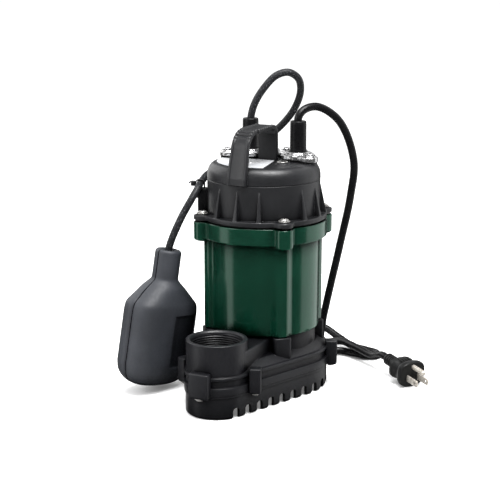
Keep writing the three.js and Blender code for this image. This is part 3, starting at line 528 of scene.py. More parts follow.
brass = metal("nickelled_brass", (0.80, 0.75, 0.68), 0.24, (1500, 60, 60), "blade_brass", 0.15,
              (0.52, 0.44, 0.34), 0.6)
laminated_steel = banded("laminated_steel", (0.24, 0.25, 0.27), (0.05, 0.05, 0.055), pitch=0.65,
                         roughness=0.42, metallic=0.85)
copper_winding = banded("copper_winding", (0.50, 0.19, 0.07), (0.10, 0.03, 0.01), pitch=0.9,
                        roughness=0.32, metallic=0.7)
boot_rubber = rubber("boot_rubber", (0.0042, 0.0042, 0.0047), 0.30)
plug_rubber = rubber("plug_rubber", (0.010, 0.010, 0.010), 0.36, "boot_rubber")
gasket_rubber = rubber("gasket_rubber", (0.008, 0.008, 0.008), 0.7)
cord_jacket = rubber("cord_jacket", (0.0045, 0.0045, 0.005), 0.27)
tether_jacket = rubber("tether_jacket", (0.010, 0.0105, 0.012), 0.42, "cord_jacket", speckle=0.5)
film = label_film()

CARRIED_OVER = [
    (shaded_base_plastic, ["inlet_strainer"]), (impeller_plastic, ["impeller"]), (seal_carbon, ["seal_head"]),
    (gasket_rubber, ["volute_gasket", "cap_gasket"]), (seal_ceramic, ["seal_seat"]),
    (cast_aluminium, ["bearing_bracket"]), (laminated_steel, ["stator_core", "rotor_core"]),
    (copper_winding, ["upper_winding", "lower_winding"]), (capacitor_case, ["run_capacitor"]),
    (steel, ["motor_shaft", "lower_bearing_inner", "lower_bearing_outer", "upper_bearing_inner",
             "upper_bearing_outer", "float_ball"]),
    (switch_plastic, ["thermal_protector", "float_switch"]), (track_plastic, ["ball_track"]),
    (brass, ["switch_plunger"]), (zinc, [f"housing_screw_{i}" for i in range(1, 5)]),
]


def dress_carried_nodes():
    for material, names in CARRIED_OVER:
        for name in names:
            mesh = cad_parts[name].data
            mesh.materials.clear()
            mesh.materials.append(material)


# ---- base and volute


def pear(offset, straight=10):
    """The base's outline, counterclockwise: a round back and a narrower nose, joined by straight sides."""
    lean = math.asin((BASE_RADIUS - NOSE_RADIUS) / (BASE_CENTRE_Y - PORT_Y))
    back = np.linspace(-lean, math.pi + lean, 56)
    nose = np.linspace(math.pi + lean, TURN - lean, 41)
    large, small = BASE_RADIUS + offset, NOSE_RADIUS + offset
    round_back = np.column_stack([large * np.cos(back), BASE_CENTRE_Y + large * np.sin(back)])
    round_nose = np.column_stack([small * np.cos(nose), PORT_Y + small * np.sin(nose)])
    share = np.linspace(0, 1, straight + 2)[1:-1, None]
    left = round_back[-1] + (round_nose[0] - round_back[-1]) * share
    right = round_nose[-1] + (round_back[0] - round_nose[-1]) * share
    return np.vstack([round_back, left, round_nose, right])


def pear_loft(profile, loop=False):
    """(offset, z) points carried round the base's outline."""
    return loft([at_height(pear(offset), z) for offset, z in profile], loop)


def lug_blocks(bottom, top, edge, smaller=0.0):
    """The square lugs round the rim, one over each base screw, by width, depth and turn in degrees."""
    lugs = []
    sizes = [(20, 8.4, 0), (11, 11, 22.6), (11, 11, -22.6), (12, 12, 22.8), (12, 12, -22.8)]
    for i, (width, depth, turn) in enumerate(sizes, 1):
        lug = block(width - smaller, depth - smaller, top - bottom, 1.6, edge)
        lugs.append(over(f"base_screw_{i}", moved(lug, z=bottom, turn=math.radians(turn))))
    return bundle(*lugs)


def slot_cutters():
    """Round-topped inlet slots, evenly spaced along the skirt except across the nose."""
    width, height, corner, pitch, plain = 7.6, 9.8, 3.2, 14.9, 24.8
    outline = pear(-1.75)
    line = np.roll(outline, -int(np.argmin(outline[:, 1])), 0)
    line = np.vstack([line, line[:1]])
    run = run_along(line)
    tool = rounded([(width / 2, -9), (width / 2, height, corner), (-width / 2, height, corner),
                    (-width / 2, -9)], True)
    slot = loft([at_depth(tool, -7), at_depth(tool, 7)])

    def place(at):
        return np.array([np.interp(at, run, line[:, 0]), np.interp(at, run, line[:, 1])])

    count = int((run[-1] - 2 * plain) // pitch)
    cutters = []
    for at in np.linspace(plain, run[-1] - plain, 2 * count + 1)[1::2]:
        along = place(at + 1) - place(at - 1)
        cutters.append(moved(slot, *place(at), 0, math.atan2(along[1], along[0])))
    return cutters


def build_strainer():
    wall, plate = 3.5, 5.0
    skirt = pear_loft(rounded([
        (-wall, BASE_BOTTOM, 0.4), (-1.4, BASE_BOTTOM, 0.4), (0, BASE_BOTTOM + 1.8, 1.2),
        (0, BASE_TOP - 4.2, 0.4), (1.0, BASE_TOP - 3.6, 0.3), (1.0, BASE_TOP, 0.5),
        (-26, BASE_TOP, 0.2), (-26, BASE_TOP - plate, 0.2), (-wall, BASE_TOP - plate, 1.0),
    ], True), True)
    skirt = cut(skirt, *slot_cutters())
    deck = pear_loft([(-25, BASE_TOP - plate), (-25, BASE_TOP)])
    eye = lathe([(19, BASE_BOTTOM), (19, BASE_TOP + 5)], 64)
    shape = bundle(skirt, cut(deck, eye), lug_blocks(BASE_TOP - 3.4, BASE_TOP, 0.6, 1.0))
    make_piece("strainer_moulding", shape, shaded_base_plastic, "strainer_base")


def threaded_port():
    """The discharge port: a plain outside, a rounded rim and a pipe thread cut into the bore."""
    pitch, depth, lead_in, run_out, count = 2.2, 1.1, 3, 12, 96
    low, high = 30.0, TUBE_TOP - 1.8
    rings = [circle(PORT_RADIUS, count, VOLUTE_BOTTOM + 1)]
    for r, z in rounded([(PORT_RADIUS, 40), (PORT_RADIUS, TUBE_TOP, 0.9), (PORT_BORE + 1.6, TUBE_TOP, 0.6),
                         (PORT_BORE + 0.2, TUBE_TOP - 1.6)]):
        rings.append(circle(r, count, z))
    for z in np.arange(high, low, -pitch / 5):
        phase = (z / pitch - directions(count) / TURN) % 1.0
        ramp = min(1.0, (high - z) / lead_in) * min(1.0, (z - low) / run_out)
        rings.append(circle(PORT_BORE + 0.2 - depth * ramp * np.abs(2 * phase - 1), count, z))
    rings += [circle(PORT_BORE - 1, count, low), circle(PORT_BORE - 1, count, VOLUTE_BOTTOM + 1)]
    return moved(loft(rings, True), 0, PORT_Y)


def build_volute():
    flange_top, shoulder_top, deck_top, seat_top = 40.0, 47.0, 60.0, HOUSING_BOTTOM - 0.4
    case = pear_loft(rounded([
        (-8, VOLUTE_BOTTOM), (1.1, VOLUTE_BOTTOM), (1.1, BASE_TOP - 1.0), (1.5, BASE_TOP - 1.0, 0.2),
        (1.5, VOLUTE_BOTTOM + 4.2, 0.5),
        (-0.8, VOLUTE_BOTTOM + 4.9, 0.3), (-0.8, flange_top - 3.0, 0.4), (1.1, flange_top - 2.2, 0.4),
        (1.1, flange_top + 0.2, 0.8), (-2.2, flange_top + 0.8, 0.8),
        (-10.5, shoulder_top - 0.3, 3.0), (-20, shoulder_top),
    ]))
    bridge = moved(block(57.6, 92, deck_top - flange_top, 2.0, 1.6), 0, PORT_Y / 2 - 2, flange_top)
    seat = lathe(rounded([(0.01, flange_top), (51, flange_top), (51, seat_top, 1.0), (0.01, seat_top)]))
    chamber_radius, chamber_low, chamber_top, passage_floor, neck_radius = 44, 20, 44, 30, 20
    bore = moved(lathe([(PORT_BORE + 1.2, 31), (PORT_BORE + 1.2, TUBE_TOP + 5)], 64), 0, PORT_Y)
    chamber = lathe([(chamber_radius, chamber_low), (chamber_radius, chamber_top)], 64)
    passage = moved(block(38, 95, 14, 2, 1), 0, PORT_Y / 2, passage_floor)
    neck = lathe([(neck_radius, chamber_top - 2), (neck_radius, seat_top + 2)], 64)
    boss_orbit = 1.02 * np.hypot(*middle("housing_screw_1")[:2])
    boss = moved(block(17, 17.6, seat_top - flange_top, 3.2, 0.8), boss_orbit)
    bosses = [moved(boss, z=flange_top, turn=q) for q in QUARTERS]
    shape = bundle(
        cut(case, bore, chamber, passage), cut(bridge, bore, chamber, passage),
        cut(seat, chamber, passage, neck), threaded_port(), *bosses, lug_blocks(BASE_TOP - 2.6, 45, 1.1),
    )
    make_piece("volute_moulding", shape, shaded_base_plastic, "volute_case")


def hex_head(radius, height):
    """A hexagon head on a thin round flange, standing on z = 0 and pointing up."""
    hexagon = prism(circle(radius, 6)[:, :2], 0.5, height, 0.35)
    return bundle(disc(radius * 1.35, 0, 0.9, 0.3, 40), moved(hexagon, turn=0.3))


def pan_head(radius, height, washer=0.0):
    """A domed head with a cross recess, over a washer if it has one, standing on z = 0."""
    dome = [(1, 0), (1, 0.35), (0.93, 0.62), (0.75, 0.85), (0.45, 0.97)]
    head = lathe([(0.01, 0.0)] + [(radius * r, height * z) for r, z in dome] + [(0.01, height)], 48)
    arm = block(radius * 1.05, radius * 0.24, height, 0.1, 0.05)
    cross = [moved(arm, z=height * 0.45, turn=0.4 + a) for a in (0, math.pi / 2)]
    lifted = moved(cut(head, *cross), z=washer)
    return bundle(disc(radius * 1.32, 0, washer, 0.25, 48), lifted) if washer else lifted


def place_screw(node, head, material, up=True, shift=0.0):
    """A screw whose head stands in the place of the CAD node's, shifted along Z, with a plain shank."""
    (left, _, low), (right, _, high) = box_mm(node)
    points, faces = head
    height = points[:, 2].max()
    shank = disc((right - left) * 0.2, 0, high - low - height + 0.5, 0.3, 24)
    if up:
        whole = bundle(moved(head, z=high - height + shift), moved(shank, z=low + shift))
    else:
        flipped = (points * np.array([1, -1, -1]), faces)
        whole = bundle(moved(flipped, z=low + height + shift), moved(shank, z=low + height - 0.5))
    make_piece(node + "_detail", over(node, whole), material, node)


def build_base_screws():
    for i in range(1, 6):
        place_screw(f"base_screw_{i}", hex_head(3.4, 2.2), zinc, up=False, shift=0.9)


# ---- housing


def soft_min(a, b, blend):
    """The smaller of two distances, with a fillet where they are close."""
    h = np.maximum(blend - np.abs(a - b), 0) / blend
    return np.minimum(a, b) - h * h * blend / 4


def reach(distance, angles, low, high):
    """How far out each direction meets the surface where distance(x, y) is zero."""
    near, far = np.full(len(angles), float(low)), np.full(len(angles), float(high))
    for _ in range(26):
        r = (near + far) / 2
        outside = distance(r * np.cos(angles), r * np.sin(angles)) > 0
        near, far = np.where(outside, near, r), np.where(outside, r, far)
    return near


def lobed_ring(z, body, lobes, count=360, shrink=0.0, blend=3.0):
    """A circle with four round lobes: body is its radius, lobes are (orbit, radius) pairs."""
    def distance(x, y):
        d = np.hypot(x, y) - body
        for orbit, radius in lobes:
            for q in QUARTERS if radius > 0.05 else ():
                lobe = np.hypot(x - orbit * math.cos(q), y - orbit * math.sin(q)) - radius
                d = soft_min(d, lobe, blend)
        return d + shrink

    return circle(reach(distance, directions(count), 30, 90), count, z)


def rim(z, low, high, edge):
    """How far a rounded edge has drawn in at a height near either end."""
    gap = min(z - low, high - z)
    return 0.0 if gap >= edge else edge - math.sqrt(max(edge * edge - (edge - gap) ** 2, 0))


def rise(t):
    t = min(1.0, max(0.0, t))
    return t * t * (3 - 2 * t)


def housing_ring(z):
    taper = 0.6 * (COLLAR_Z - z) / (COLLAR_Z - HOUSING_BOTTOM)
    body = BODY_RADIUS - max(0.0, taper)
    collar = body + (COLLAR_RADIUS - body) * rise((z - COLLAR_Z + 2.2) / 2.6) ** 0.8
    drop = min(1.0, max(0.0, (COLLAR_Z - 0.8 - z) / 3.0))
    ear = EAR_RADIUS * math.sqrt(1 - drop * drop)
    shrink = rim(z, HOUSING_BOTTOM, HOUSING_TOP, 1.2)
    return lobed_ring(z, collar, [(COLUMN_ORBIT, COLUMN_RADIUS), (EAR_ORBIT, ear)], shrink=shrink)


def build_housing():
    heights = np.concatenate([
        HOUSING_BOTTOM + 1.2 * (1 - np.cos(np.linspace(0, math.pi / 2, 5))), np.linspace(65, 145, 12),
        np.linspace(146, COLLAR_Z + 1.5, 26), np.linspace(156, HOUSING_TOP - 1.2, 4),
        HOUSING_TOP - 1.2 + 1.2 * np.sin(np.linspace(0.3, math.pi / 2, 4)),
    ])
    rings = [housing_ring(z) for z in heights]
    seat_low, seat_high = z_range("lower_bearing_outer")
    bore, seat_rim, bearing, shaft_hole, seal_pocket, pocket_top = 48, 26, 20.3, 9.3, 15.3, 65.5
    for r, z in [(bore, HOUSING_TOP), (bore, seat_low), (seat_rim, seat_low), (seat_rim, seat_high),
                 (bearing, seat_high), (bearing, seat_low), (shaft_hole, seat_low), (shaft_hole, pocket_top),
                 (seal_pocket, pocket_top), (seal_pocket, HOUSING_BOTTOM)]:
        rings.append(circle(r, 360, z))
    make_piece("housing_casting", loft(rings, True), paint, "motor_housing", crease=50)


# ---- cap


def cap_wall():
    """The cap's stepped wall, its elliptical shoulder and flat top, and the hollow inside."""
    shoulder, skin = 12, 3.2
    arc = np.linspace(0, math.pi / 2, 14)
    run = CAP_RADIUS - CAP_FLAT_RADIUS
    outside = [(CAP_RADIUS, CAP_BOTTOM), (CAP_RADIUS, CAP_STEP - 0.6), (CAP_RADIUS - 0.5, CAP_STEP - 0.2),
               (CAP_RADIUS - 0.5, CAP_STEP + 0.3), (CAP_RADIUS + 0.15, CAP_STEP + 0.9)]
    outside += [(CAP_FLAT_RADIUS + run * math.cos(a), CAP_TOP - shoulder * (1 - math.sin(a))) for a in arc]
    inside = [(0.01, CAP_TOP - skin), (CAP_FLAT_RADIUS - 3, CAP_TOP - skin), (CAP_RADIUS - 4.6, CAP_TOP - 8),
              (CAP_RADIUS - skin, CAP_TOP - 14), (CAP_RADIUS - skin, CAP_BOTTOM)]
    wall = lathe(outside + [(0.01, CAP_TOP)] + inside, 144, True)
    hole = lathe([(11.8, CAP_TOP - 10), (11.8, CAP_TOP + 5)], 48)
    return cut(wall, over("power_gland_boot", hole), over("float_gland_boot", hole))


def cap_flange():
    top = CAP_BOTTOM + 4.5
    rings = []
    for z in (CAP_BOTTOM, CAP_BOTTOM + 0.25, CAP_BOTTOM + 0.8, top - 0.9, top - 0.3, top):
        edge = rim(z, CAP_BOTTOM, top, 0.8)
        rings.append(lobed_ring(z, COLLAR_RADIUS, [(EAR_ORBIT, EAR_RADIUS)], shrink=edge))
    rings += [circle(CAP_RADIUS - 1.5, 360, top), circle(CAP_RADIUS - 1.5, 360, CAP_BOTTOM)]
    return loft(rings, True)


def gusset(angle):
    """A thin rib from the wall down to the rim of the flange, thicker toward its foot."""
    low, high = CAP_BOTTOM + 3.5, 202.0
    rings = []
    for z in np.append(np.linspace(low, high - 1, 6), high):
        share = (z - low) / (high - low)
        outer = COLLAR_RADIUS - 0.4 + (CAP_RADIUS + 0.5 - COLLAR_RADIUS) * share - (0.8 if z == high else 0)
        half = 2.3 - 1.5 * share ** 0.7
        inner = CAP_RADIUS - 2
        section = rounded([(outer, -half, 0.5), (outer, half, 0.5), (inner, half), (inner, -half)], True, 3)
        rings.append(at_height(section, z))
    return moved(loft(rings), turn=angle)


def handle_strap():
    """A flat strap up the front, back along the ridged grip and down onto the top."""
    grip_z, ridge_pitch, thick = HANDLE_TOP - 2.6, 4.5, 2.15
    line = rounded([(-55.4, CAP_STEP + 0.3), (-54.9, CAP_STEP + 6, 8), (-45.2, grip_z - 1.2, 19),
                    (9.2, grip_z, 8), (9.6, CAP_TOP - 1)], steps=12)
    steps = run_along(line)
    along = np.arange(0, steps[-1], 0.45)
    path = np.column_stack([np.interp(along, steps, line[:, 0]), np.interp(along, steps, line[:, 1])])
    slope = np.gradient(path, axis=0)
    slope /= np.linalg.norm(slope, axis=1)[:, None]
    out = np.column_stack([-slope[:, 1], slope[:, 0]])
    rings = []
    for s, (y, z), (ny, nz) in zip(along, path, out):
        gripped = rise((z - grip_z + 9) / 3) * rise((5 - y) / 2)
        ridge = gripped * (1.3 * abs(math.cos(math.pi * s / ridge_pitch)) ** 0.6 - 0.9)
        width = 10.0 - 0.9 * rise((z - CAP_STEP - 10) / 30) * (y < -30)
        crest, valley = thick + ridge, thick + ridge - 0.45
        half = [(width, -thick, 0.9), (width, crest, 1.0), (width - 2.4, crest, 0.6),
                (width - 3.2, valley, 0.6)]
        outline = rounded(half + [(-x, y_out, r) for x, y_out, r in half[::-1]], True, 3)
        rings.append(np.column_stack([outline[:, 0], y + ny * outline[:, 1], z + nz * outline[:, 1]]))
    return loft(rings)


def tie_post():
    """A stout post on the flange; the cable tie runs down a slot in its top and out through a tunnel."""
    foot, sill, top, orbit = CAP_BOTTOM + 3.5, 185.4, 195.9, 58.6
    cheeks = [moved(block(11, 2.4, top - foot, 0.8, 0.8), orbit, side * 3.6, foot) for side in (-1, 1)]
    core = moved(block(10, 6, sill - foot, 0.4, 0.3), orbit, 0, foot)
    back_wall = moved(block(3, 6, top - foot - 0.4, 0.4, 0.3), orbit - 3.8, 0, foot)
    front_wall = moved(block(4.6, 6, top - sill - 3.2, 0.4, 0.5), orbit + 2.8, 0, sill + 2.8)
    brace = moved(block(10, 2.6, (top - foot) * 0.7, 0.5, 0.5), orbit + 1, 0, foot)
    return moved(bundle(*cheeks, core, back_wall, front_wall, brace), turn=POST_ANGLE)


def oval(offset, count=96):
    """A gland's outline: a round middle and a lobe for a screw at each end, with soft necks."""
    middle_radius, lobe_radius, neck = 15, 6, 5.5

    def distance(x, y):
        d = np.hypot(x, y) - middle_radius
        for side in (-1, 1):
            d = soft_min(d, np.hypot(x - side * GLAND_LOBE, y) - lobe_radius, 5.0)
        return soft_min(d, np.maximum(np.abs(x) - GLAND_LOBE, np.abs(y) - neck), 4.0) - offset

    return circle(reach(distance, directions(count), 2, 60), count)[:, :2]


def at_gland(shape, side):
    """A shape turned and shifted to the power cord's gland, side 1, or the float cord's, side -1."""
    return over("power_gland_boot" if side > 0 else "float_gland_boot", moved(shape, turn=-side * GLAND_TURN))


def build_cap():
    pads = [at_gland(prism(oval(0.7), CAP_TOP - 5, PLATE_BOTTOM - 0.3, 0.5), side) for side in (-1, 1)]
    angles = np.radians(np.arange(0, 360, 22.5))
    taken = [POST_ANGLE, *QUARTERS]
    ribs = [gusset(a) for a in angles if min(abs(a - other) for other in taken) > 0.01]
    ring = [(4.2, CAP_TOP - 2), (8.2, CAP_TOP - 2), (7.4, CAP_TOP + 0.9, 0.5), (5.9, CAP_TOP + 0.9, 0.3),
            (5.7, CAP_TOP - 0.4), (4.2, CAP_TOP - 0.4)]
    boss = over("oil_fill_plug", lathe(rounded(ring, True), 48, True))
    spot_face = disc(6.9, CAP_BOTTOM + 3, CAP_BOTTOM + 4.9, 0.4)
    spot_faces = [over(f"cap_screw_{i}", spot_face) for i in range(1, 5)]
    shape = bundle(cap_wall(), cap_flange(), handle_strap(), tie_post(), boss, *pads, *ribs, *spot_faces)
    make_piece("cap_moulding", shape, charcoal, "motor_cap")


def build_cap_screws():
    for i in range(1, 5):
        place_screw(f"cap_screw_{i}", pan_head(4.2, 2.0, 0.9), zinc, shift=-0.4)


def build_oil_plug():
    """A zinc plug with a black hexagon socket, in a black ring."""
    low, high = z_range("oil_fill_plug")
    head_radius, ring_bore, socket_radius = 5.2, 5.3, 3.5
    head = cut(disc(head_radius, high - 4.4, high, 0.5),
               lathe([(socket_radius, high - 3.4), (socket_radius, high + 1)], 6))
    ring = lathe(rounded([(ring_bore, CAP_TOP - 0.2), (6.1, CAP_TOP - 0.2), (6.1, high - 0.9, 0.4),
                          (ring_bore, high - 0.6, 0.3)], True), 48, True)
    shape = over("oil_fill_plug", bundle(head, ring, disc(3.7, low, high - 4.2, 0.3, 32)))
    plug = make_piece("oil_fill_plug_detail", shape, zinc, "oil_fill_plug")
    plug.data.materials.append(socket_black)
    x, y, _ = middle("oil_fill_plug")
    for polygon in plug.data.polygons:
        corners = [plug.data.vertices[i].co / MM for i in polygon.vertices]
        reaches = [math.hypot(corner.x - x, corner.y - y) for corner in corners]
        if max(reaches) < head_radius - 0.6 or min(reaches) > ring_bore - 0.05:
            polygon.material_index = 1


def build_label():
    radius, right = 45.4, 20
    start, end = math.pi + 0.05, TURN - math.acos(right / radius)
    arc = [(radius * math.cos(a), radius * math.sin(a)) for a in np.linspace(start, end, 48)]
    inner_edge = rounded([(right, -40.8), (9, 4.5, 1.2), (-30, 4.5, 1.2), (-36, -2, 1.0), (-45.2, -2)])[1:-1]
    shape = prism(np.vstack([inner_edge, arc]), *z_range("name_label"), 0.15)
    make_piece("name_label_film", shape, film, "name_label")


# ---- glands and cords


def build_gland(name, side, cord_radius):
    """A rubber sleeve round the cord, held by a stepped plate with two dished screws."""
    boot_low, boot_high = z_range(f"{name}_gland_boot")
    bore = lathe([(9.0, PLATE_BOTTOM - 6), (9.0, PLATE_TOP + 8)], 64)
    under = prism(oval(0.85), PLATE_BOTTOM - 8, PLATE_BOTTOM - 0.25, 0.2)
    dent = lathe(rounded([(0.01, PLATE_TOP - 0.7), (4.9, PLATE_TOP - 0.7, 0.4), (5.3, PLATE_TOP + 2),
                          (0.01, PLATE_TOP + 2)]), 40)
    dents = [moved(dent, -GLAND_LOBE), moved(dent, GLAND_LOBE)]
    plate = bundle(
        cut(prism(oval(0.0), PLATE_BOTTOM, PLATE_TOP, 1.0, 5), bore, *dents),
        cut(prism(oval(1.6), PLATE_BOTTOM - 3.2, PLATE_TOP - 1.2, 1.3, 5), bore, under, *dents),
        lathe(rounded([(9.0, PLATE_TOP - 1), (13.2, PLATE_TOP - 1), (12.6, PLATE_TOP + 1.0, 0.7),
                       (9.6, PLATE_TOP + 1.7, 0.7)], True), 72, True),
    )
    make_piece(f"{name}_gland_clamp", at_gland(plate, side), chrome, f"{name}_gland_plate", crease=28)
    bore_radius = cord_radius + 0.25
    sleeve = rounded([
        (bore_radius, boot_low), (11.2, boot_low, 0.5), (11.2, PLATE_BOTTOM - 0.3, 0.5),
        (8.4, PLATE_BOTTOM - 0.3, 0.5), (8.5, PLATE_TOP + 2.5, 0.6), (8.0, PLATE_TOP + 4, 0.6),
        (7.9, boot_high - 3.2, 0.4), (7.7, boot_high, 1.1), (bore_radius, boot_high, 0.6),
    ], True)
    shape = over(f"{name}_gland_boot", lathe(sleeve, 72, True))
    make_piece(f"{name}_gland_sleeve", shape, boot_rubber, f"{name}_gland_boot")
    for i in (1, 2):
        place_screw(f"{name}_gland_screw_{i}", pan_head(4.0, 2.0), chrome, shift=-0.7)


def build_cable_tie():
    """A plain strap round the cord, its head outside, and the cut end of its tail."""
    left, right, bottom, top = 57.9, 67.0, 186.45, STRAP_POINT[2] + 4.3
    loop = rounded([(right, bottom, 3.2), (right, top, 4.2), (left, top, 3.6), (left, bottom, 1.6)], True, 8)
    half_thick, half_wide = 0.6, 1.7
    corners = [(half_thick, -half_wide), (half_thick, half_wide), (-half_thick, half_wide),
               (-half_thick, -half_wide)]
    strap = loft([at_depth(inset(loop, inward), y) for inward, y in corners], True)
    head = moved(block(4.2, 4.8, 4.8, 0.8, 0.7), right + 2.0, 0, 197.8)
    tail = placed(block(3.2, 3.3, 1.2, 0.3, 0.2), Matrix.Translation((right + 4.6, 0, 200.8)) @
                  Matrix.Rotation(0.5, 4, "Y"))
    shape = moved(bundle(strap, head, tail), turn=POST_ANGLE)
    make_piece("cable_tie_strap", shape, charcoal, "cable_tie")


def plug_matrix():
    """The plug's own frame: its blades run along X, with their middle 20 ahead of the origin and 3 below."""
    blades = (middle("plug_line_blade") + middle("plug_neutral_blade")) / 2
    turn = Matrix.Rotation(PLUG_HEADING, 4, "Z") @ Matrix.Rotation(PLUG_DIP, 4, "Y")
    return Matrix.Translation(Vector(blades) - turn @ Vector((20, 0, -3))) @ turn


def on_plug_axis(along):
    return tuple(plug_matrix() @ Vector((along, 0, 0)))


def power_cord_path():
    x, y, _ = middle("power_gland_boot")
    return catmull_rom([
        (x, y, 214), (x, y, 240), (x, y, 255), (x, y, 264), (29, 28, 271), (38, 42, 273), (54, 57, 258),
        (65, 68, 219), (61, 71, 183), (48, 76, 130), (31, 84, 68), (22, 93, 40), (17, 103, 17), (24, 114, 6),
        (36, 119, 4.2), (50, 117.5, 4.2), (62, 115, 4.2), (71, 120, 4.2), (69, 129, 4.2), (56, 134, 4.2),
        (36, 141, 4.4), (16, 148, 10), (-4, 151, 18), (-24, 143, 20), (-33, 128, 14), (-24, 116, 7),
        (-6, 118, 5), (12, 126, 9), (32, 121.5, 14), (46, 114, 14), (60, 106, 13), (78, 95, 12),
        on_plug_axis(-40), on_plug_axis(-30), on_plug_axis(-20.4),
    ])


def fixed_cord_path():
    x, y, _ = middle("float_gland_boot")
    return catmull_rom([
        (x, y, 214), (x, y, 240), (x + 0.5, y, 262), (-22, 24, 276), (-14, 29, 291), (-5, 36, 302),
        (5, 43, 305), (12, 50, 299), (11, 58, 286), (1, 65, 267), (-16, 68, 248), (-36, 61, 231),
        (-55, 38, 217), (-62, 10, 207.5), (-60.5, -8, 204.4), tuple(STRAP_POINT + (-0.7, 4, 1.2)),
    ])


def tether_path():
    return catmull_rom([
        tuple(STRAP_POINT), (-55.5, -32.5, 196.2), (-57, -42, 187), (-62.5, -49, 173), (-69, -53, 157),
        (-73.5, -54.5, 145), tuple(NECK_TOP + (0.2, 0, 0.5)), tuple(NECK_TOP + (-0.6, -0.8, -8)),
    ], 12)


def build_cords():
    """Both cords. The tether is two pieces that meet halfway, neither on a body."""
    power = sweep(power_cord_path(), round_section(POWER_CORD_RADIUS))
    make_piece("power_cord_jacket", power, cord_jacket, "power_cord")
    section = round_section(FLOAT_CORD_RADIUS)
    loop = sweep(fixed_cord_path(), section)
    make_piece("float_cord_loop", loop, tether_jacket, "float_cord_fixed")
    path = tether_path()
    halfway_z = 168
    half = int(np.argmin(np.abs(path[:, 2] - halfway_z)))
    r = FLOAT_CORD_RADIUS - 0.02
    ball = lathe([(r * math.cos(a), r * math.sin(a)) for a in np.linspace(-1.5, 1.5, 15)], 24)
    upper = bundle(moved(ball, *STRAP_POINT), sweep(path[: half + 1], section))
    lower = sweep(path[half:], section)
    first = make_piece("float_cord_upper", upper, tether_jacket, "float_cord_tether", None)
    second = make_piece("float_cord_lower", lower, tether_jacket, None, None)
    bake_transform(first)
    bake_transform(second)


def squared(angles, power):
    """A unit circle pushed out toward a square, the more so the smaller the power."""
    x, y = np.cos(angles), np.sin(angles)
    return np.sign(x) * np.abs(x) ** power, np.sign(y) * np.abs(y) ** power


def plug_section(half_width, half_height, x, count=64):
    across, up = squared(directions(count), 0.7)
    return np.column_stack([np.full(count, x), half_width * across, half_height * up])


def build_plug():
    """A moulded body through stations of (place, half width, half height), its strain relief and contacts."""
    place = plug_matrix()
    stations = np.array([[-14.5, 6.5, 6.2], [-13, 9.5, 8], [-9, 13.2, 10.3], [-5, 13.6, 10.5], [0, 12.0, 9.4],
                         [3, 12.0, 9.4], [6.5, 14.2, 12.2], [8.5, 15, 13], [12.2, 15, 13], [13, 14.2, 12.2]])
    xs = np.unique(np.concatenate([np.linspace(-14.5, 13, 40), stations[:, 0]]))
    widths, heights = (np.interp(xs, stations[:, 0], stations[:, i]) for i in (1, 2))
    body = loft([plug_section(w, h, x) for x, w, h in zip(xs, softened(widths), softened(heights))])
    along_x = Matrix.Rotation(math.pi / 2, 4, "Y")
    relief_profile, rib_pitch = [(4.3, -30), (5.6, -30)], 3.2
    for i in range(5):
        z = -29 + i * rib_pitch
        relief_profile += [(6.2, z), (6.2, z + 1.7), (5.2, z + 2.0), (5.2, z + 2.9)]
    relief_profile += [(6.4, -12.5), (4.3, -12.5)]
    relief = placed(lathe(relief_profile, 32, True), along_x)
    finger_grips = [moved(block(9, 1.1, 1.4, 0.5, 0.4), -2, y, 9.3) for y in (-5.5, -2.2, 1.1, 4.4)]
    grip = placed(bundle(body, relief, *finger_grips), place)
    make_piece("plug_grip", grip, plug_rubber, "plug_body")
    half_spacing = 12.7 / 2
    for name, side in (("plug_line_blade", 1), ("plug_neutral_blade", -1)):
        outline = rounded([(10, -3.15), (30.3, -3.15, 1.6), (30.3, 3.15, 1.6), (10, 3.15)], True)
        flat = prism(outline, -0.75, 0.75, 0.25)
        hole = moved(lathe([(1.6, -3), (1.6, 3)], 24), 26.5)
        upright = Matrix.Translation((0, side * half_spacing, -3)) @ Matrix.Rotation(math.pi / 2, 4, "X")
        make_piece(name + "_pressing", placed(cut(flat, hole), place @ upright), brass, name)
    pin = lathe(rounded([(0.01, 10), (2.4, 10), (2.4, 32, 2.2), (0.01, 32)], steps=8), 32)
    pin = placed(pin, place @ Matrix.Translation((0, 0, 8)) @ along_x)
    make_piece("plug_ground_pin_turning", pin, brass, "plug_ground_pin")


# ---- float

# Distance down from the top of the neck, half width and half thickness.
FLOAT_STATIONS = np.array([
    [0, 11.2, 11.2], [0.8, 12.3, 12.3], [2.4, 12.8, 12.8], [29, 12.9, 12.9], [34, 18, 16.6], [36, 20.6, 18.1],
    [51, 35.5, 22.3], [54, 37.0, 22.8], [60, 37.8, 23], [112, 38, 23], [119, 36.9, 22.3], [124, 34.5, 21],
    [128.5, 30.5, 18.6], [131.5, 26.4, 16], [133.3, 21.5, 13], [134, 17, 9.5],
])


def float_sizes(down):
    return (np.interp(down, FLOAT_STATIONS[:, 0], FLOAT_STATIONS[:, i]) for i in (1, 2))


def softened(values, rounds=2):
    kernel = np.array([0.25, 0.5, 0.25])
    for _ in range(rounds):
        values[1:-1] = np.convolve(values, kernel, "valid")
    return values


def float_power(width):
    """The neck is round, and the body is nearly square in section."""
    return np.interp(width, [12, 38], [1.0, 0.62])


def panel_depth(x, down):
    """How far the blank panel on the front face is sunk, at a place on the face."""
    left, right, top, bottom, sunk, slope = 1.5, 31.0, 62.0, 113.0, 1.3, 0.8
    inside = min(x - left, right - x, down - top, bottom - down)
    return sunk * min(1.0, max(0.0, inside / slope + 0.5))


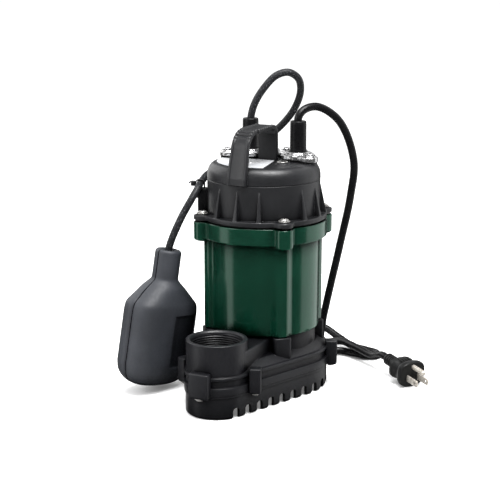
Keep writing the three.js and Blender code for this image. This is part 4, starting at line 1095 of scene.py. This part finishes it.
def float_half(front):
    """One shell of the float: its outer skin on one side of the seam, with a rounded seam edge."""
    down = np.concatenate([np.linspace(0, 3, 7), np.arange(4, 120, 1.25), np.linspace(120, 134, 22)])
    widths, depths = (softened(v) for v in float_sizes(down))
    angles = np.linspace(0, math.pi, 97)
    side = -1 if front else 1
    edge, gap, wall = 1.6, 0.55, 3.4
    rings = []
    for d, w, t in zip(down, widths, depths):
        x, y = squared(angles, float_power(w))
        x, y = w * x, t * np.abs(y)
        near = np.clip(edge - y, 0, edge)
        x -= np.sign(x) * (edge - np.sqrt(edge ** 2 - near ** 2)) * (np.abs(x) > w * 0.5)
        y = np.maximum(y, gap)
        if front:
            y = y - np.array([panel_depth(-v * side, d) for v in x]) * (y > 8)
        rings.append(np.column_stack([x, side * y, np.full(len(x), -d)]))
    shape = loft(rings)
    inner_down = np.array([37.0, 51, 57, 112, 122, 127])
    inner = []
    for d, w, t in zip(inner_down, *float_sizes(inner_down)):
        x, y = squared(directions(40), float_power(w))
        inner.append(np.column_stack([(w - wall) * x, (t - wall) * y, np.full(40, -d)]))
    hole = lathe([(4.1, -38), (4.1, -3.2), (8.4, 0.0), (8.4, 4)], 48)
    return cut(shape, loft(inner), hole)


def float_matrix():
    """The float's own frame: it hangs down from the top of its neck, leaning a little."""
    axis = Vector((math.sin(FLOAT_LEAN_WAY), -math.cos(FLOAT_LEAN_WAY), 0))
    turn = Matrix.Rotation(FLOAT_LEAN, 4, axis) @ Matrix.Rotation(FLOAT_TURN, 4, "Z")
    return Matrix.Translation(NECK_TOP) @ turn


def build_float():
    place = float_matrix()
    front = make_piece("float_front_moulding", placed(float_half(True), place), float_plastic,
                       "float_front_shell", "float", 50)
    front.data.materials.append(panel_plastic)
    to_local = place.inverted()
    for polygon in front.data.polygons:
        x, y, z = to_local @ (polygon.center / MM)
        if y < -18 and panel_depth(x, -z) > 0.6:
            polygon.material_index = 1
    make_piece("float_back_moulding", placed(float_half(False), place), float_plastic,
               "float_back_shell", "float", 50)


# ---- stage, light and camera


def times(tree, first, second):
    node = add(tree, "ShaderNodeMath", {"operation": "MULTIPLY"})
    plug_in(node, 0, first)
    plug_in(node, 1, second)
    return node.outputs[0]


def stage_sheet(name, corners, material):
    """A flat sheet through four corners, in metres, that belongs to the stage and not to the pump."""
    sheet = to_object(name, (np.array(corners), [(0, 1, 2, 3)]))
    sheet.data.materials.append(material)
    return sheet


def toward(azimuth, elevation):
    """A unit vector away from the pump, by degrees. Azimuth 0 is in front, toward -Y, and 90 is toward +X."""
    a, e = math.radians(azimuth), math.radians(elevation)
    return Vector((math.sin(a) * math.cos(e), -math.cos(a) * math.cos(e), math.sin(e)))


def stand(name, data, aim, away, distance):
    """A lamp or a camera that looks at the aim from a distance."""
    obj = bpy.data.objects.new(name, data)
    bpy.context.scene.collection.objects.link(obj)
    obj.location = aim + away * distance
    obj.rotation_euler = away.to_track_quat("Z", "Y").to_euler()
    return obj


def build_floor():
    """A pale floor that glows a little to the camera, except in the shade under the base."""
    material, tree, shader, where = begin("pale_floor")
    glow, half, z = 0.36, 30.0, BASE_BOTTOM * MM - 0.0004
    tone = blend_colour(tree, noise(tree, where, 3.0), (0.96, 0.96, 0.96), (0.98, 0.98, 0.98))
    seen = add(tree, "ShaderNodeLightPath").outputs["Is Camera Ray"]
    uncovered = remap(tree, openness(tree, 30.0), 0.15, 0.45, 0.0, glow)
    feed(shader, Base_Color=tone, Roughness=0.7, Specular_IOR_Level=0.1, Emission_Color=(1, 1, 1, 1),
         Emission_Strength=times(tree, seen, uncovered))
    corners = [(-half, -half, z), (half, -half, z), (half, half, z), (-half, half, z)]
    stage_sheet("floor", corners, material).visible_glossy = False


def card(name, azimuth, distance, width, strength, bottom=-0.8, top=0.9):
    """A glowing upright card facing the pump, seen only in reflections. The floor doesn't hide its foot."""
    centre = toward(azimuth, 0) * distance
    across = toward(azimuth + 90, 0) * width / 2
    low, high = Vector((0, 0, bottom)), Vector((0, 0, top))
    material, _, shader, _ = begin(name)
    feed(shader, Base_Color=(0, 0, 0, 1), Emission_Color=(1, 1, 1, 1), Emission_Strength=strength)
    left, right = centre - across, centre + across
    sheet = stage_sheet(name, [left + low, right + low, right + high, left + high], material)
    sheet.visible_camera = sheet.visible_diffuse = sheet.visible_shadow = False


def softbox(name, azimuth, elevation, distance, width, height, power):
    """A rectangular light facing the middle of the pump."""
    aim = Vector((0, 0, 0.13))
    data = bpy.data.lights.new(name, "AREA")
    data.shape, data.size, data.size_y, data.energy = "RECTANGLE", width, height, power
    stand(name, data, aim, toward(azimuth, elevation), distance)


def build_world():
    """White to the camera, softer to other rays, and almost dark in reflections, where the cards show."""
    world = bpy.data.worlds.new("studio")
    world.use_nodes = True
    tree = world.node_tree
    tree.nodes.clear()
    rays = add(tree, "ShaderNodeLightPath").outputs
    lighting, seen, mirrored = 0.75, 1.1, 0.07
    strength = times(tree, remap(tree, rays["Is Camera Ray"], 0.0, 1.0, lighting, seen),
                     remap(tree, rays["Is Glossy Ray"], 0.0, 1.0, 1.0, mirrored))
    background = add(tree, "ShaderNodeBackground", Color=(1, 1, 1, 1), Strength=strength)
    add(tree, "ShaderNodeOutputWorld", Surface=background.outputs["Background"])
    bpy.context.scene.world = world


def build_camera():
    data = bpy.data.cameras.new("camera")
    data.sensor_width, data.lens = 36.0, 94.91
    azimuth, elevation, distance, aim = 27.6, 12.69, 1.2915, Vector((-0.0115, -0.0069, 0.135))
    bpy.context.scene.camera = stand("camera", data, aim, toward(azimuth, elevation), distance)


# ---- the whole pump

build_strainer()
build_volute()
build_base_screws()
build_housing()
build_cap()
build_cap_screws()
build_oil_plug()
build_label()
build_gland("power", 1, POWER_CORD_RADIUS)
build_gland("float", -1, FLOAT_CORD_RADIUS)
build_cable_tie()
build_cords()
build_plug()
build_float()
dress_carried_nodes()
build_floor()
softbox("key", 60, 66, 1.5, 0.8, 0.8, 25)
softbox("top", 10, 80, 1.8, 1.2, 1.2, 28)
softbox("fill", -40, 24, 1.8, 0.9, 0.9, 10)
card("right_card", 140, 0.9, 1.1, 0.85)
card("left_card", -47, 1.0, 0.34, 1.0)
card("back_left_card", -122, 1.0, 0.5, 1.5)
card("back_card", -160, 1.2, 0.6, 0.6, 0.1)
card("high_left_card", -98, 1.0, 0.8, 2.2, 0.36, 1.35)
card("high_right_card", 152, 1.0, 0.8, 1.6, 0.36, 1.35)
build_world()
bpy.context.scene.view_settings.view_transform = "Standard"
build_camera()
